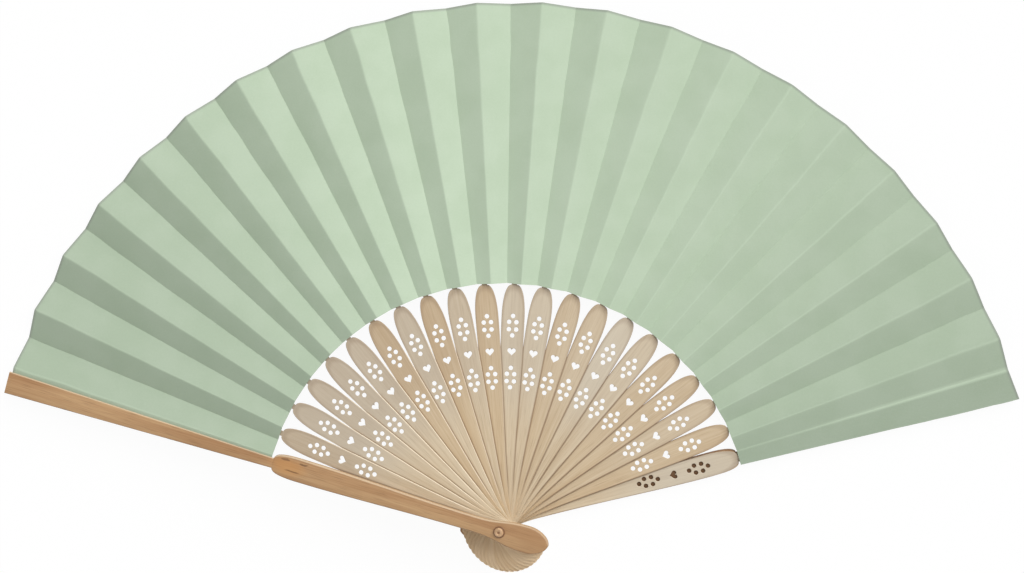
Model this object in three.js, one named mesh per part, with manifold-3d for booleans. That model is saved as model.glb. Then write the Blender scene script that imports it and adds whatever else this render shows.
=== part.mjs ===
// A folding fan lying open on its back: pierced bamboo ribs and two guards
// turn on one rivet, and a pleated paper leaf joins their outer ends.
// Millimetres, +Z up. The rivet stands on the Z axis and the table is at Z = 0.
import * as THREE from 'three';
import { mergeVertices } from 'three/addons/utils/BufferGeometryUtils.js';
import Module from 'manifold-3d';

const wasm = await Module();
wasm.setup();

// Spread of the fan
const RIB_COUNT = 21;
const RIB_PITCH = 7.1; // degrees from one stick to the next
const LAST_RIB_AZIMUTH = 14.5; // degrees from +X, above the back guard

// Stack of sticks on the rivet
const BACK_GUARD_THICKNESS = 2.0;
const FRONT_GUARD_THICKNESS = 2.4;
const RIB_THICKNESS = 0.45;
const RIB_GAP = 0.4; // between two sticks on the rivet
const BACK_GUARD_GAP = 0.6; // between the back guard and the lowest rib

// Outline of a rib, measured along it from the rivet
const RIB_TAIL_REACH = 17.5;
const RIB_TAIL_SWELL_AT = 9.5;
const RIB_TAIL_WIDTH = 8.8;
const RIB_WAIST_AT = 12;
const RIB_WAIST_WIDTH = 5.2;
const RIB_HEAD_AT = 77;
const RIB_HEAD_WIDTH = 8.5;
const RIB_HEAD_REACH = 88.8;
const SLIP_WIDTH = 2.0;
const SLIP_REACH = 189;

// Piercing of a rib
const OUTER_FLOWER_AT = 74.1;
const HEART_AT = 64.6;
const INNER_FLOWER_AT = 54.9;
const PETAL_HOLE_RADIUS = 0.85;
const PETAL_END_OFFSET = 3.6; // along the rib, the two end petals
const PETAL_SIDE_OFFSET = 1.35; // along the rib, the four side petals
const PETAL_SPREAD = 1.35; // across the rib, the four side petals
const HEART_SIZE = 3.1;

// Outline of a guard, measured along it from the rivet
const GUARD_TAIL_REACH = 18.5;
const GUARD_TAIL_SWELL_AT = 10.5;
const GUARD_TAIL_WIDTH = 10.0;
const GUARD_WAIST_AT = 10;
const GUARD_WAIST_WIDTH = 5.8;
const GUARD_HEAD_AT = 79;
const GUARD_HEAD_WIDTH = 8.8;
const GUARD_HEAD_REACH = 88.8;
const FRONT_ARM_REACH = 196.4;
const BACK_ARM_REACH = 191.4; // stays under the leaf
const GUARD_ARM_TIP_WIDTH = 8.6;
const GUARD_ARM_ROOT_WIDTH = 3.9;
const GUARD_ARM_SLANT = 0.3; // the tip is cut askew by this much
const BACK_ARM_THICKNESS = 1.0;
const FRONT_ARM_THICKNESS = 0.9;
const GUARD_ARM_INSET = 6; // how far the arm runs into the head
const GUARD_BEVEL = 0.3;

// How blunt a head is, as shares of its length and half width
const HEAD_ROUND_START = 0.78;
const HEAD_ROUND_WIDTH = 0.74;

// Paper leaf
const LEAF_INNER_RADIUS = 89.6;
const LEAF_PEAK_RADIUS = 193;
const LEAF_VALLEY_RADIUS = 191.9;
const RIM_DIP = 2.2; // how far the rim draws in past its top
const RIM_DIP_FROM = 64; // degrees from +X
const RIM_DIP_TO = 112;
const RIM_FLARE = 5; // how far it would run out again at the flare's end
const RIM_FLARE_FROM = 124;
const RIM_FLARE_TO = 176;
const LEAF_THICKNESS = 0.3;
const PLEAT_HEIGHT = 4.2; // valley to peak at the rim
const LAST_PLEAT_HEIGHT = 1.5; // the same for the pleat that lies shut
const GLUE_GAP = 0.15;
const FOLD_GAP = 0.3; // between neighbouring pleats in a valley

// Rivet
const PIN_RADIUS = 1.0;
const PIN_CLEARANCE = 0.4;
const REAR_HEAD_RADIUS = 2.2;
const REAR_HEAD_THICKNESS = 0.5;
const SEAT_GAP = 0.1;
const WASHER_RADIUS = 2.2;
const WASHER_THICKNESS = 0.35;
const CAP_RADIUS = 1.75;
const CAP_HEIGHT = 1.0;
const CAP_BORE_DEPTH = 0.5;
const CAP_DIMPLE_RADIUS = 0.8;
const CAP_DIMPLE_DEPTH = 0.2;

// How finely curves are cut
const OUTLINE_STEPS = 4;
const PETAL_SIDES = 6;
const HEART_POINTS = 8;
const ROUND_SIDES = 20;
const BORE_SIDES = 10;

const degrees = THREE.MathUtils.degToRad;
const layer = RIB_THICKNESS + RIB_GAP;
const holeRadius = PIN_RADIUS + PIN_CLEARANCE;
const rimRadius = (LEAF_PEAK_RADIUS + LEAF_VALLEY_RADIUS) / 2;
const halfPanel = RIB_PITCH / 4; // degrees from a rib to its folds
const panelRun = 2 * rimRadius * Math.tan(degrees(halfPanel));

// Heights at the rim: the slips there lie on the last pleat and the back guard
const slipRimHeight =
  BACK_ARM_THICKNESS + LEAF_THICKNESS + 3 * GLUE_GAP + RIB_THICKNESS / 2;
const leafLift =
  (RIB_THICKNESS + LEAF_THICKNESS + (SLIP_WIDTH * PLEAT_HEIGHT) / panelRun) / 2 + GLUE_GAP;
const leafRimHeight = slipRimHeight + leafLift;
const peakRimHeight = leafRimHeight + PLEAT_HEIGHT / 2;

// Heights at the rivet
const lastRibHeight = BACK_GUARD_THICKNESS + BACK_GUARD_GAP + RIB_THICKNESS / 2;
const ribHeight = (rib) => lastRibHeight + layer * (RIB_COUNT - rib);
const ribAzimuth = (rib) => LAST_RIB_AZIMUTH + RIB_PITCH * (RIB_COUNT - rib);
const frontGuardHeight = ribHeight(1) + RIB_THICKNESS / 2 + RIB_GAP;
const frontGuardAzimuth = ribAzimuth(0);
const frontArmHeight = frontGuardHeight + FRONT_GUARD_THICKNESS - FRONT_ARM_THICKNESS;
const frontArmRimHeight = peakRimHeight + LEAF_THICKNESS / 2 + GLUE_GAP;

const bamboo = { color: 0xcdb597, roughness: 0.62, metalness: 0 };
const guardBamboo = { color: 0xba9468, roughness: 0.55, metalness: 0 };
const paper = { color: 0xb9cdb2, roughness: 0.85, metalness: 0 };
const rivetMetal = { color: 0xb08a64, roughness: 0.4, metalness: 0.6 };

const fan = new THREE.Group();

function addPiece(parent, name, geometry, finish) {
  const mesh = new THREE.Mesh(geometry, new THREE.MeshStandardMaterial(finish));
  mesh.name = name;
  parent.add(mesh);
}

function weld(geometry) {
  const bare = geometry.clone();
  bare.deleteAttribute('normal');
  bare.deleteAttribute('uv');
  return mergeVertices(bare, 1e-5);
}

function toSolid(geometry) {
  const welded = weld(geometry);
  return new wasm.Manifold(
    new wasm.Mesh({
      numProp: 3,
      vertProperties: new Float32Array(welded.attributes.position.array),
      triVerts: new Uint32Array(welded.index.array),
    }),
  );
}

function toGeometry(solid) {
  const mesh = solid.getMesh();
  const geometry = new THREE.BufferGeometry();
  geometry.setAttribute('position', new THREE.BufferAttribute(mesh.vertProperties, 3));
  geometry.setIndex(new THREE.BufferAttribute(mesh.triVerts, 1));
  geometry.computeVertexNormals();
  return geometry;
}

function plate(shape, thickness, bevel = 0) {
  return new THREE.ExtrudeGeometry(shape, {
    depth: thickness - 2 * bevel,
    bevelEnabled: bevel > 0,
    bevelSize: bevel,
    bevelThickness: bevel,
    bevelOffset: -bevel,
    bevelSegments: 1,
    curveSegments: 1,
  }).translate(0, 0, bevel);
}

// Points of a round hole, centred on a point of the stick
function roundHole(x, y, radius, sides) {
  const points = [];
  for (let i = 0; i < sides; i += 1) {
    const turn = (2 * Math.PI * i) / sides;
    points.push(new THREE.Vector2(x + radius * Math.cos(turn), y + radius * Math.sin(turn)));
  }
  return new THREE.Path(points);
}

// Points of a heart whose tip looks towards the rivet
function heartHole(x, size) {
  const points = [];
  for (let i = 0; i < HEART_POINTS; i += 1) {
    const turn = (2 * Math.PI * i) / HEART_POINTS;
    const across = Math.sin(turn) ** 3 / 2;
    const along =
      (13 * Math.cos(turn) - 5 * Math.cos(2 * turn) - 2 * Math.cos(3 * turn) - Math.cos(4 * turn)) / 32;
    points.push(new THREE.Vector2(x + size * along, size * across));
  }
  return new THREE.Path(points);
}

// Flower of six round holes
function flowerHoles(x) {
  const petals = [
    [-PETAL_END_OFFSET, 0],
    [PETAL_END_OFFSET, 0],
  ];
  for (const along of [-PETAL_SIDE_OFFSET, PETAL_SIDE_OFFSET]) {
    petals.push([along, -PETAL_SPREAD], [along, PETAL_SPREAD]);
  }
  return petals.map(([along, across]) => roundHole(x + along, across, PETAL_HOLE_RADIUS, PETAL_SIDES));
}

// Outline on both sides of the stick's middle line, from one side of it
function mirroredShape(half) {
  const other = half
    .filter((point) => point.y > 0)
    .map((point) => new THREE.Vector2(point.x, -point.y))
    .reverse();
  return new THREE.Shape([...half, ...other].reverse());
}

// One side of a stick from its tail, past its waist, to the end of its head
function stickSide(tail, waist, head, neckWidth) {
  const swell = tail.width / 2;
  const narrow = waist.width / 2;
  const broad = head.width / 2;
  const tailRound = (tail.reach - tail.swellAt) / 2;
  const tailRun = (tail.swellAt + waist.at) / 2;
  const bladeRun = (head.at - waist.at) / 3;
  const headRound = (head.reach - head.at) * HEAD_ROUND_START;
  const headEnd = broad * HEAD_ROUND_WIDTH;
  const side = new THREE.Path();
  side.moveTo(-tail.reach, 0);
  side.bezierCurveTo(-tail.reach, swell / 2, -tail.swellAt - tailRound, swell, -tail.swellAt, swell);
  side.bezierCurveTo(-tail.swellAt + tailRun, swell, waist.at - tailRun, narrow, waist.at, narrow);
  side.bezierCurveTo(waist.at + bladeRun, narrow, head.at - bladeRun, broad, head.at, broad);
  side.bezierCurveTo(head.at + headRound, broad, head.reach, headEnd, head.reach, neckWidth / 2);
  return side.getPoints(OUTLINE_STEPS);
}

function ribGeometry() {
  const half = stickSide(
    { reach: RIB_TAIL_REACH, swellAt: RIB_TAIL_SWELL_AT, width: RIB_TAIL_WIDTH },
    { at: RIB_WAIST_AT, width: RIB_WAIST_WIDTH },
    { at: RIB_HEAD_AT, width: RIB_HEAD_WIDTH, reach: RIB_HEAD_REACH },
    SLIP_WIDTH,
  );
  half.push(new THREE.Vector2(SLIP_REACH, SLIP_WIDTH / 2));
  const outline = mirroredShape(half);
  outline.holes.push(roundHole(0, 0, holeRadius, BORE_SIDES));
  outline.holes.push(...flowerHoles(INNER_FLOWER_AT), ...flowerHoles(OUTER_FLOWER_AT));
  outline.holes.push(heartHole(HEART_AT, HEART_SIZE));
  return plate(outline, RIB_THICKNESS).translate(0, 0, -RIB_THICKNESS / 2);
}

// A guard: a thick blade, and a thin arm that lies armHeight above its lower face
function guardSolid(thickness, armThickness, armHeight, armReach) {
  const half = stickSide(
    { reach: GUARD_TAIL_REACH, swellAt: GUARD_TAIL_SWELL_AT, width: GUARD_TAIL_WIDTH },
    { at: GUARD_WAIST_AT, width: GUARD_WAIST_WIDTH },
    { at: GUARD_HEAD_AT, width: GUARD_HEAD_WIDTH, reach: GUARD_HEAD_REACH },
    GUARD_ARM_ROOT_WIDTH,
  );
  const blade = toSolid(plate(mirroredShape(half), thickness, GUARD_BEVEL));
  const armStart = GUARD_HEAD_REACH - GUARD_ARM_INSET;
  const arm = new THREE.Shape();
  arm.moveTo(armStart, -GUARD_ARM_ROOT_WIDTH / 2);
  arm.lineTo(armReach - GUARD_ARM_SLANT, -GUARD_ARM_TIP_WIDTH / 2);
  arm.lineTo(armReach, GUARD_ARM_TIP_WIDTH / 2);
  arm.lineTo(armStart, GUARD_ARM_ROOT_WIDTH / 2);
  const armSolid = toSolid(plate(arm, armThickness).translate(0, 0, armHeight));
  return blade.add(armSolid);
}

function cylinder(radius, height, sides) {
  return new THREE.CylinderGeometry(radius, radius, height, sides).rotateX(Math.PI / 2);
}

function bored(solid, radius, depth, floor, sides) {
  const bore = cylinder(radius, depth, sides).translate(0, 0, floor + depth / 2);
  return solid.subtract(toSolid(bore));
}

// A stick's own frame: X runs out along it from the rivet, its tip dips to the rim
function stickGroup(azimuth, height, rimHeight) {
  const group = new THREE.Group();
  group.position.z = height;
  group.rotation.set(0, Math.atan((height - rimHeight) / rimRadius), degrees(azimuth), 'ZYX');
  fan.add(group);
  return group;
}

// The rim isn't quite a circle: it draws in past its top and runs out to the front guard
function rimEase(azimuth) {
  const dip = THREE.MathUtils.smoothstep(azimuth, RIM_DIP_FROM, RIM_DIP_TO);
  const flare = THREE.MathUtils.smoothstep(azimuth, RIM_FLARE_FROM, RIM_FLARE_TO);
  return RIM_FLARE * flare - RIM_DIP * dip;
}

// A fold of the leaf, a straight line from the rivet to the rim
function fold(azimuth, rivetHeight, rimHeight, radius, shift = 0) {
  const reach = radius + rimEase(azimuth);
  return { turn: degrees(azimuth), rivetHeight, rimHeight, reach, shift };
}

function foldPoint(line, radius) {
  const share = radius / rimRadius;
  return new THREE.Vector3(
    radius * Math.cos(line.turn) - line.shift * Math.sin(line.turn),
    radius * Math.sin(line.turn) + line.shift * Math.cos(line.turn),
    line.rivetHeight * (1 - share) + line.rimHeight * share,
  );
}

// A strip of paper panels between neighbouring folds, given clockwise
function pleatGeometry(folds) {
  const panels = folds.length - 1;
  const strip = new THREE.BoxGeometry(panels, 1, LEAF_THICKNESS, panels, 1, 1);
  strip.translate(panels / 2, 0, 0);
  const position = strip.attributes.position;
  for (let i = 0; i < position.count; i += 1) {
    const line = folds[Math.round(position.getX(i))];
    const radius = position.getY(i) < 0 ? LEAF_INNER_RADIUS : line.reach;
    const point = foldPoint(line, radius);
    position.setXYZ(i, point.x, point.y, point.z + position.getZ(i));
  }
  strip.computeVertexNormals();
  return strip;
}

// The two folds of the panel that a rib's slip backs
function ribFolds(rib) {
  const rise = (rib === RIB_COUNT ? LAST_PLEAT_HEIGHT : PLEAT_HEIGHT) / 2;
  const rivetHeight = ribHeight(rib) + leafLift;
  const azimuth = ribAzimuth(rib);
  return {
    valley: fold(azimuth + halfPanel, rivetHeight, leafRimHeight - rise, LEAF_VALLEY_RADIUS),
    peak: fold(azimuth - halfPanel, rivetHeight, leafRimHeight + rise, LEAF_PEAK_RADIUS),
  };
}

// The far edge of the light panel stops short of the next pleat
function valleyBefore(rib) {
  return { ...ribFolds(rib).valley, shift: FOLD_GAP };
}

const pad = (number) => String(number).padStart(2, '0');

function addBackGuard() {
  const group = stickGroup(LAST_RIB_AZIMUTH, 0, 0);
  const guard = guardSolid(BACK_GUARD_THICKNESS, BACK_ARM_THICKNESS, 0, BACK_ARM_REACH);
  const holed = bored(guard, holeRadius, BACK_GUARD_THICKNESS * 3, -BACK_GUARD_THICKNESS, ROUND_SIDES);
  const pocket = REAR_HEAD_THICKNESS + SEAT_GAP;
  const seated = bored(holed, REAR_HEAD_RADIUS + PIN_CLEARANCE, pocket * 2, -pocket, ROUND_SIDES);
  addPiece(group, 'back_guard', toGeometry(seated), guardBamboo);
  const height = BACK_ARM_THICKNESS + GLUE_GAP + LEAF_THICKNESS / 2;
  const shut = pleatGeometry([
    fold(LAST_RIB_AZIMUTH + halfPanel, height, height, LEAF_VALLEY_RADIUS),
    fold(LAST_RIB_AZIMUTH - halfPanel, height, height, LEAF_PEAK_RADIUS),
  ]);
  addPiece(fan, `leaf_pleat_${pad(RIB_COUNT + 1)}`, shut, paper);
}

function addRib(rib) {
  const group = stickGroup(ribAzimuth(rib), ribHeight(rib), slipRimHeight);
  addPiece(group, `rib_${pad(rib)}`, ribGeometry(), bamboo);
  const { valley, peak } = ribFolds(rib);
  const folds = [valley, peak];
  if (rib < RIB_COUNT) {
    folds.push(valleyBefore(rib + 1));
  }
  addPiece(fan, `leaf_pleat_${pad(rib)}`, pleatGeometry(folds), paper);
}

function addFrontGuard() {
  const armLift = FRONT_GUARD_THICKNESS - FRONT_ARM_THICKNESS;
  const group = stickGroup(frontGuardAzimuth, frontGuardHeight, frontArmRimHeight - armLift);
  const guard = guardSolid(FRONT_GUARD_THICKNESS, FRONT_ARM_THICKNESS, armLift, FRONT_ARM_REACH);
  const holed = bored(guard, holeRadius, FRONT_GUARD_THICKNESS * 3, -FRONT_GUARD_THICKNESS, ROUND_SIDES);
  addPiece(group, 'front_guard', toGeometry(holed), guardBamboo);
  const flapHeight = frontArmHeight - GLUE_GAP - LEAF_THICKNESS / 2;
  const armHalf = Math.atan(GUARD_ARM_TIP_WIDTH / 2 / FRONT_ARM_REACH);
  const flapEdge = frontGuardAzimuth + THREE.MathUtils.radToDeg(armHalf) * 0.8;
  const first = pleatGeometry([
    fold(flapEdge, flapHeight, peakRimHeight, LEAF_VALLEY_RADIUS),
    fold(frontGuardAzimuth - halfPanel, flapHeight, peakRimHeight, LEAF_PEAK_RADIUS),
    valleyBefore(1),
  ]);
  addPiece(fan, `leaf_pleat_${pad(0)}`, first, paper);
  return group;
}

function addRivet(frontGuard) {
  const washerBottom = FRONT_GUARD_THICKNESS + SEAT_GAP;
  const capBottom = washerBottom + WASHER_THICKNESS + SEAT_GAP;
  const disc = cylinder(WASHER_RADIUS, WASHER_THICKNESS, ROUND_SIDES);
  disc.translate(0, 0, washerBottom + WASHER_THICKNESS / 2);
  const boreFloor = washerBottom - WASHER_THICKNESS;
  const washer = bored(toSolid(disc), holeRadius, WASHER_THICKNESS * 3, boreFloor, ROUND_SIDES);
  addPiece(frontGuard, 'rivet_washer', toGeometry(washer), rivetMetal);

  const profile = [
    [0, CAP_BORE_DEPTH],
    [holeRadius, CAP_BORE_DEPTH],
    [holeRadius, 0],
    [CAP_RADIUS, 0],
    [CAP_RADIUS, CAP_HEIGHT / 2],
    [(CAP_RADIUS + CAP_DIMPLE_RADIUS) / 2, CAP_HEIGHT],
    [CAP_DIMPLE_RADIUS, CAP_HEIGHT],
    [CAP_DIMPLE_RADIUS / 2, CAP_HEIGHT - CAP_DIMPLE_DEPTH],
    [0, CAP_HEIGHT - CAP_DIMPLE_DEPTH],
  ].map(([x, y]) => new THREE.Vector2(x, y));
  const cap = new THREE.LatheGeometry(profile, ROUND_SIDES).rotateX(Math.PI / 2);
  addPiece(frontGuard, 'rivet_cap', weld(cap.translate(0, 0, capBottom)), rivetMetal);

  const pinTop = frontGuardHeight + capBottom + CAP_BORE_DEPTH / 2;
  const pinProfile = [
    [0, 0],
    [REAR_HEAD_RADIUS, 0],
    [REAR_HEAD_RADIUS, REAR_HEAD_THICKNESS],
    [PIN_RADIUS, REAR_HEAD_THICKNESS],
    [PIN_RADIUS, pinTop],
    [0, pinTop],
  ].map(([x, y]) => new THREE.Vector2(x, y));
  const pin = new THREE.LatheGeometry(pinProfile, ROUND_SIDES).rotateX(Math.PI / 2);
  addPiece(fan, 'rivet_pin', weld(pin), rivetMetal);
}

addBackGuard();
for (let rib = RIB_COUNT; rib >= 1; rib -= 1) {
  addRib(rib);
}
addRivet(addFrontGuard());

export default fan;
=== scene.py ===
"""An open folding fan of pierced bamboo ribs and pleated paper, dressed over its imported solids."""

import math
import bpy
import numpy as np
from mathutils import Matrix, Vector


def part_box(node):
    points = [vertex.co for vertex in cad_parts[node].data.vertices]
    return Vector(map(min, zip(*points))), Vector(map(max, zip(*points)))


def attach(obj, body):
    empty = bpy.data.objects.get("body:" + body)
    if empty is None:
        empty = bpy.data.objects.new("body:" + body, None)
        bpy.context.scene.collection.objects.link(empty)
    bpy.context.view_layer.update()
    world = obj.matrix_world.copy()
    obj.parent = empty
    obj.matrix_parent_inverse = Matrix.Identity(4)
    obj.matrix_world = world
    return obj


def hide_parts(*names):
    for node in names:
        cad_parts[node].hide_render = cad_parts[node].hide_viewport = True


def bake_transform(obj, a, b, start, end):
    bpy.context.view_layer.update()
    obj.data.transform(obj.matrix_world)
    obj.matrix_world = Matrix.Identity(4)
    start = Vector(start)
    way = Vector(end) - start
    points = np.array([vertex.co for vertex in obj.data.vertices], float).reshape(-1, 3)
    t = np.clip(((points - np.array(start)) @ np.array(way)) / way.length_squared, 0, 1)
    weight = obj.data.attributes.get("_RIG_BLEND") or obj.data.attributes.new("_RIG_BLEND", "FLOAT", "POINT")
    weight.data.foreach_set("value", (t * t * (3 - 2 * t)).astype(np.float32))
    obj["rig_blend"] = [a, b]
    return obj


bl_info = {
    "name": "Folding fan",
    "version": (1, 0, 0),
    "blender": (4, 5, 0),
    "location": "3D View > Sidebar > Fan",
    "description": "Builds the ribs, guards, paper leaf and rivet of a folding fan",
    "category": "Add Mesh",
}

import bmesh
import bpy
from bpy.props import FloatProperty, FloatVectorProperty, IntProperty, PointerProperty
from mathutils import Euler, Matrix, Vector

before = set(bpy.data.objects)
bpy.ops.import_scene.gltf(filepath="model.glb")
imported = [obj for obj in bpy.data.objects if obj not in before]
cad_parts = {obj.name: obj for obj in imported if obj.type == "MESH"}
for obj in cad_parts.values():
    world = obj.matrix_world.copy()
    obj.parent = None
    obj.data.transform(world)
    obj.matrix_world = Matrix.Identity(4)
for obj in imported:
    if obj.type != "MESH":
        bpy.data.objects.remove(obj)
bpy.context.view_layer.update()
MM = 0.001


def span(low, high):
    """Two places or widths, given in millimetres."""
    return low * MM, high * MM


# Properties

def length(name, description, millimetres):
    """A length that shows in the panel, given here in millimetres."""
    return FloatProperty(
        name=name,
        description=description,
        default=millimetres * MM,
        min=0.0,
        precision=5,
        unit="LENGTH",
    )


def angle(name, description, degrees):
    """An angle that shows in the panel, given here in degrees."""
    return FloatProperty(
        name=name, description=description, default=math.radians(degrees), subtype="ANGLE"
    )


def linear(channel):
    """One sRGB channel, 0 to 255, as the linear value that shaders take."""
    share = channel / 255
    if share <= 0.04045:
        return share / 12.92
    return ((share + 0.055) / 1.055) ** 2.4


def colour(name, description, *channels):
    """A colour that shows in the panel, given here as sRGB channels."""
    return FloatVectorProperty(
        name=name,
        description=description,
        default=[linear(channel) for channel in channels],
        min=0.0,
        max=1.0,
        size=3,
        subtype="COLOR",
    )


class RibSizes(bpy.types.PropertyGroup):
    """Sizes of the pierced ribs."""

    count: IntProperty(name="Ribs", description="How many ribs the fan has", default=21, min=2)
    pitch: angle("Pitch", "Angle from one rib to the next", 7.1)
    last_azimuth: angle("Last rib", "Direction of the last rib, from the X axis", 14.5)
    first_height: length("Lowest rib", "Middle of the last rib above the base, at the rivet", 2.825)
    layer: length("Layer", "Step in height from one rib to the next", 0.85)
    slip_rim_height: length("Slip height", "Middle of the slips above the base, at the rim", 1.975)
    thickness: length("Thickness", "Thickness of a blade", 0.45)
    edge_round: length("Edge rounding", "Rounding of the cut edges", 0.16)
    tail_reach: length("Tail reach", "From the rivet to the end of the tail", 17.5)
    tail_swell_at: length("Tail swell", "From the rivet to the widest place of the tail", 9.5)
    tail_width: length("Tail width", "Width of the tail", 8.8)
    waist_at: length("Waist", "From the rivet to the narrowest place", 12.0)
    waist_width: length("Waist width", "Width at the waist", 5.2)
    head_at: length("Head", "From the rivet to the widest place of the head", 77.0)
    head_width: length("Head width", "Width of the head", 8.5)
    head_reach: length("Head reach", "From the rivet to the end of the head", 89.2)
    neck_width: length("Neck width", "Width where the head ends", 2.0)
    bore: length("Bore", "Radius of the hole for the rivet", 1.4)
    petal_radius: length("Petal radius", "Radius of one hole of a flower", 0.85)
    petal_end: length("Petal end", "From a flower's middle to its end holes", 3.6)
    petal_side: length("Petal side", "From a flower's middle to its side holes, along the rib", 1.35)
    petal_spread: length("Petal spread", "From the rib's middle line to the side holes", 1.35)
    inner_flower: length("Inner flower", "From the rivet to the inner flower", 54.9)
    outer_flower: length("Outer flower", "From the rivet to the outer flower", 74.1)
    heart_at: length("Heart", "From the rivet to the heart", 64.6)
    heart_size: length("Heart size", "Width of the heart", 3.1)
    slip_start: length("Slip root", "Where the slip starts inside the head", 86.0)
    slip_reach: length("Slip reach", "From the rivet to the end of the slip", 189.0)
    slip_width: length("Slip width", "Width of the slip behind the leaf", 2.0)
    slip_thickness: length("Slip thickness", "Thickness of the slip", 0.3)


class LeafSizes(bpy.types.PropertyGroup):
    """Sizes of the pleated paper leaf."""

    inner_radius: length("Inner radius", "From the rivet to the inner edge", 89.6)
    peak_radius: length("Peak radius", "From the rivet to the rim on a peak fold", 193.0)
    valley_radius: length("Valley radius", "From the rivet to the rim on a valley fold", 191.9)
    thickness: length("Thickness", "Thickness of the paper", 0.14)
    lift: length("Lift", "From the middle of a slip to the middle of the paper on it", 0.877)
    pleat_height: length("Pleat height", "From valley to peak at the rim", 4.2)
    last_pleat_height: length("Last pleat", "The same for the pleat that lies shut", 1.5)
    wave: length("Wave", "How far the paper bulges between its folds", 0.22)
    tuck: length("Tuck", "How far the folded-in last panel sags under the slip", 0.3)
    back_height: length("Back end", "Height of the leaf's end on the back guard", 1.3)
    rim_dip: length("Rim dip", "How far the rim draws in past its top", 2.2)
    rim_dip_from: angle("Dip from", "Direction in which the rim starts to draw in", 64.0)
    rim_dip_to: angle("Dip to", "Direction in which the rim is drawn in most", 112.0)
    rim_flare: length("Rim flare", "How far the rim would run out again at the flare's end", 5.0)
    rim_flare_from: angle("Flare from", "Direction in which the rim starts to run out", 124.0)
    rim_flare_to: angle("Flare to", "Direction of the flare's end", 176.0)
    fold_wobble: length("Fold wobble", "How far a fold strays from a straight line near the rim", 0.4)
    softness: FloatProperty(
        name="Fold softness",
        description="Rounding of a fold, as a share of a panel's width",
        default=0.035,
        min=0.001,
        max=0.5,
        subtype="FACTOR",
    )


class GuardSizes(bpy.types.PropertyGroup):
    """Sizes of the two guards."""

    tail_reach: length("Tail reach", "From the rivet to the end of the tail", 18.5)
    tail_swell_at: length("Tail swell", "From the rivet to the widest place of the tail", 10.5)
    tail_width: length("Tail width", "Width of the tail", 10.0)
    waist_at: length("Waist", "From the rivet to the narrowest place", 10.0)
    waist_width: length("Waist width", "Width at the waist", 5.8)
    head_at: length("Head", "From the rivet to the widest place of the shoulder", 79.0)
    head_width: length("Head width", "Width of the shoulder", 8.8)
    head_reach: length("Head reach", "From the rivet to the end of the shoulder", 88.8)
    neck_width: length("Neck width", "Width of the arm at the shoulder", 3.9)
    front_reach: length("Front reach", "From the rivet to the front arm's tip", 196.4)
    back_reach: length("Back reach", "From the rivet to the back arm's tip", 191.4)
    arm_tip_width: length("Tip width", "Width of the arm at its tip", 8.6)
    arm_slant: length("Tip slant", "How far the tip's one corner lies behind the other", 0.3)
    back_thickness: length("Back blade", "Thickness of the back blade", 2.0)
    back_arm: length("Back arm", "Thickness of the back arm", 1.0)
    front_height: length("Front height", "Foot of the front blade above the base, at the rivet", 20.45)
    front_thickness: length("Front blade", "Thickness of the front blade", 2.4)
    front_arm: length("Front arm", "Thickness of the front arm", 0.9)
    front_rim_height: length(
        "Front arm height", "Foot of the front arm above the base, at the rim", 5.252
    )
    edge_round: length("Edge rounding", "Rounding of the blades' edges", 0.5)


class RivetSizes(bpy.types.PropertyGroup):
    """Sizes of the rivet."""

    shank_radius: length("Shank radius", "Radius of the pin through the sticks", 1.0)
    foot_radius: length("Foot radius", "Radius of the pin's rear head", 2.2)
    foot_thickness: length("Foot thickness", "Thickness of the pin's rear head", 0.5)
    washer_radius: length("Washer radius", "Radius of the washer on the front guard", 2.2)
    washer_thickness: length("Washer thickness", "Thickness of the washer", 0.35)
    cap_radius: length("Cap radius", "Radius of the cap", 1.75)
    cap_height: length("Cap height", "Height of the cap above the washer", 1.0)


class FanColours(bpy.types.PropertyGroup):
    """Colours of the fan and of the floor under it."""

    paper: colour("Paper", "The leaf", 189, 205, 182)
    paper_shade: colour("Paper shade", "Darker fibres in the leaf", 178, 196, 170)
    paper_edge: colour("Paper edge", "Greyed cut edge along the rim", 132, 132, 130)
    rib_pale: colour("Rib, pale", "Pale bamboo of the ribs", 214, 197, 169)
    rib_deep: colour("Rib, deep", "Darker bamboo of the ribs", 188, 165, 133)
    rib_fibre: colour("Rib fibre", "Fibres and cut edges of the ribs", 118, 86, 58)
    # Painted light: paler bamboo laid on the tails, which lie in the front guard's shade
    rib_bleached: colour("Rib, bleached", "Palest bamboo, on the slips and tails", 248, 214, 170)
    # Painted highlight on the front ribs' edges, which face the light
    rib_rubbed: colour("Rib, rubbed", "Pale edges of the front ribs", 244, 230, 206)
    rib_greyed: colour("Rib, greyed", "Weathered bamboo, towards the heads", 197, 189, 174)
    rib_warm: colour("Rib, warm", "Golden tint of some ribs", 190, 150, 92)
    guard_pale: colour("Guard, pale", "Pale bamboo of the guards", 190, 154, 112)
    guard_deep: colour("Guard, deep", "Darker bamboo of the guards", 160, 119, 80)
    guard_fibre: colour("Guard fibre", "Fibres and node marks of the guards", 84, 54, 32)
    # Painted shade for the back guard's face, which shows through the last rib's holes
    guard_shade: colour("Guard, shaded", "Darkened face behind the last rib's holes", 98, 66, 36)
    guard_knot: colour("Guard knot", "Warm knot at the shoulder", 192, 138, 80)
    rivet: colour("Rivet", "Metal of the rivet", 196, 160, 122)
    # Tarnish in the metal's clouds, and painted shade on the washer and in the cap's grooves
    rivet_tarnish_and_shade: colour("Rivet, dull", "Tarnish in the rivet's ring", 128, 92, 62)
    floor: colour("Floor", "The floor under the fan", 250, 250, 250)


BLACK = (0.0, 0.0, 0.0)
WHITE = (1.0, 1.0, 1.0)


# Where the sticks and folds lie

def smoothstep(value, low, high):
    share = min(1.0, max(0.0, (value - low) / (high - low)))
    return share * share * (3 - 2 * share)


# Where the leaf's edge lies on the front arm, as a share of half its width
FRONT_EDGE_SHARE = 0.8


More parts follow.
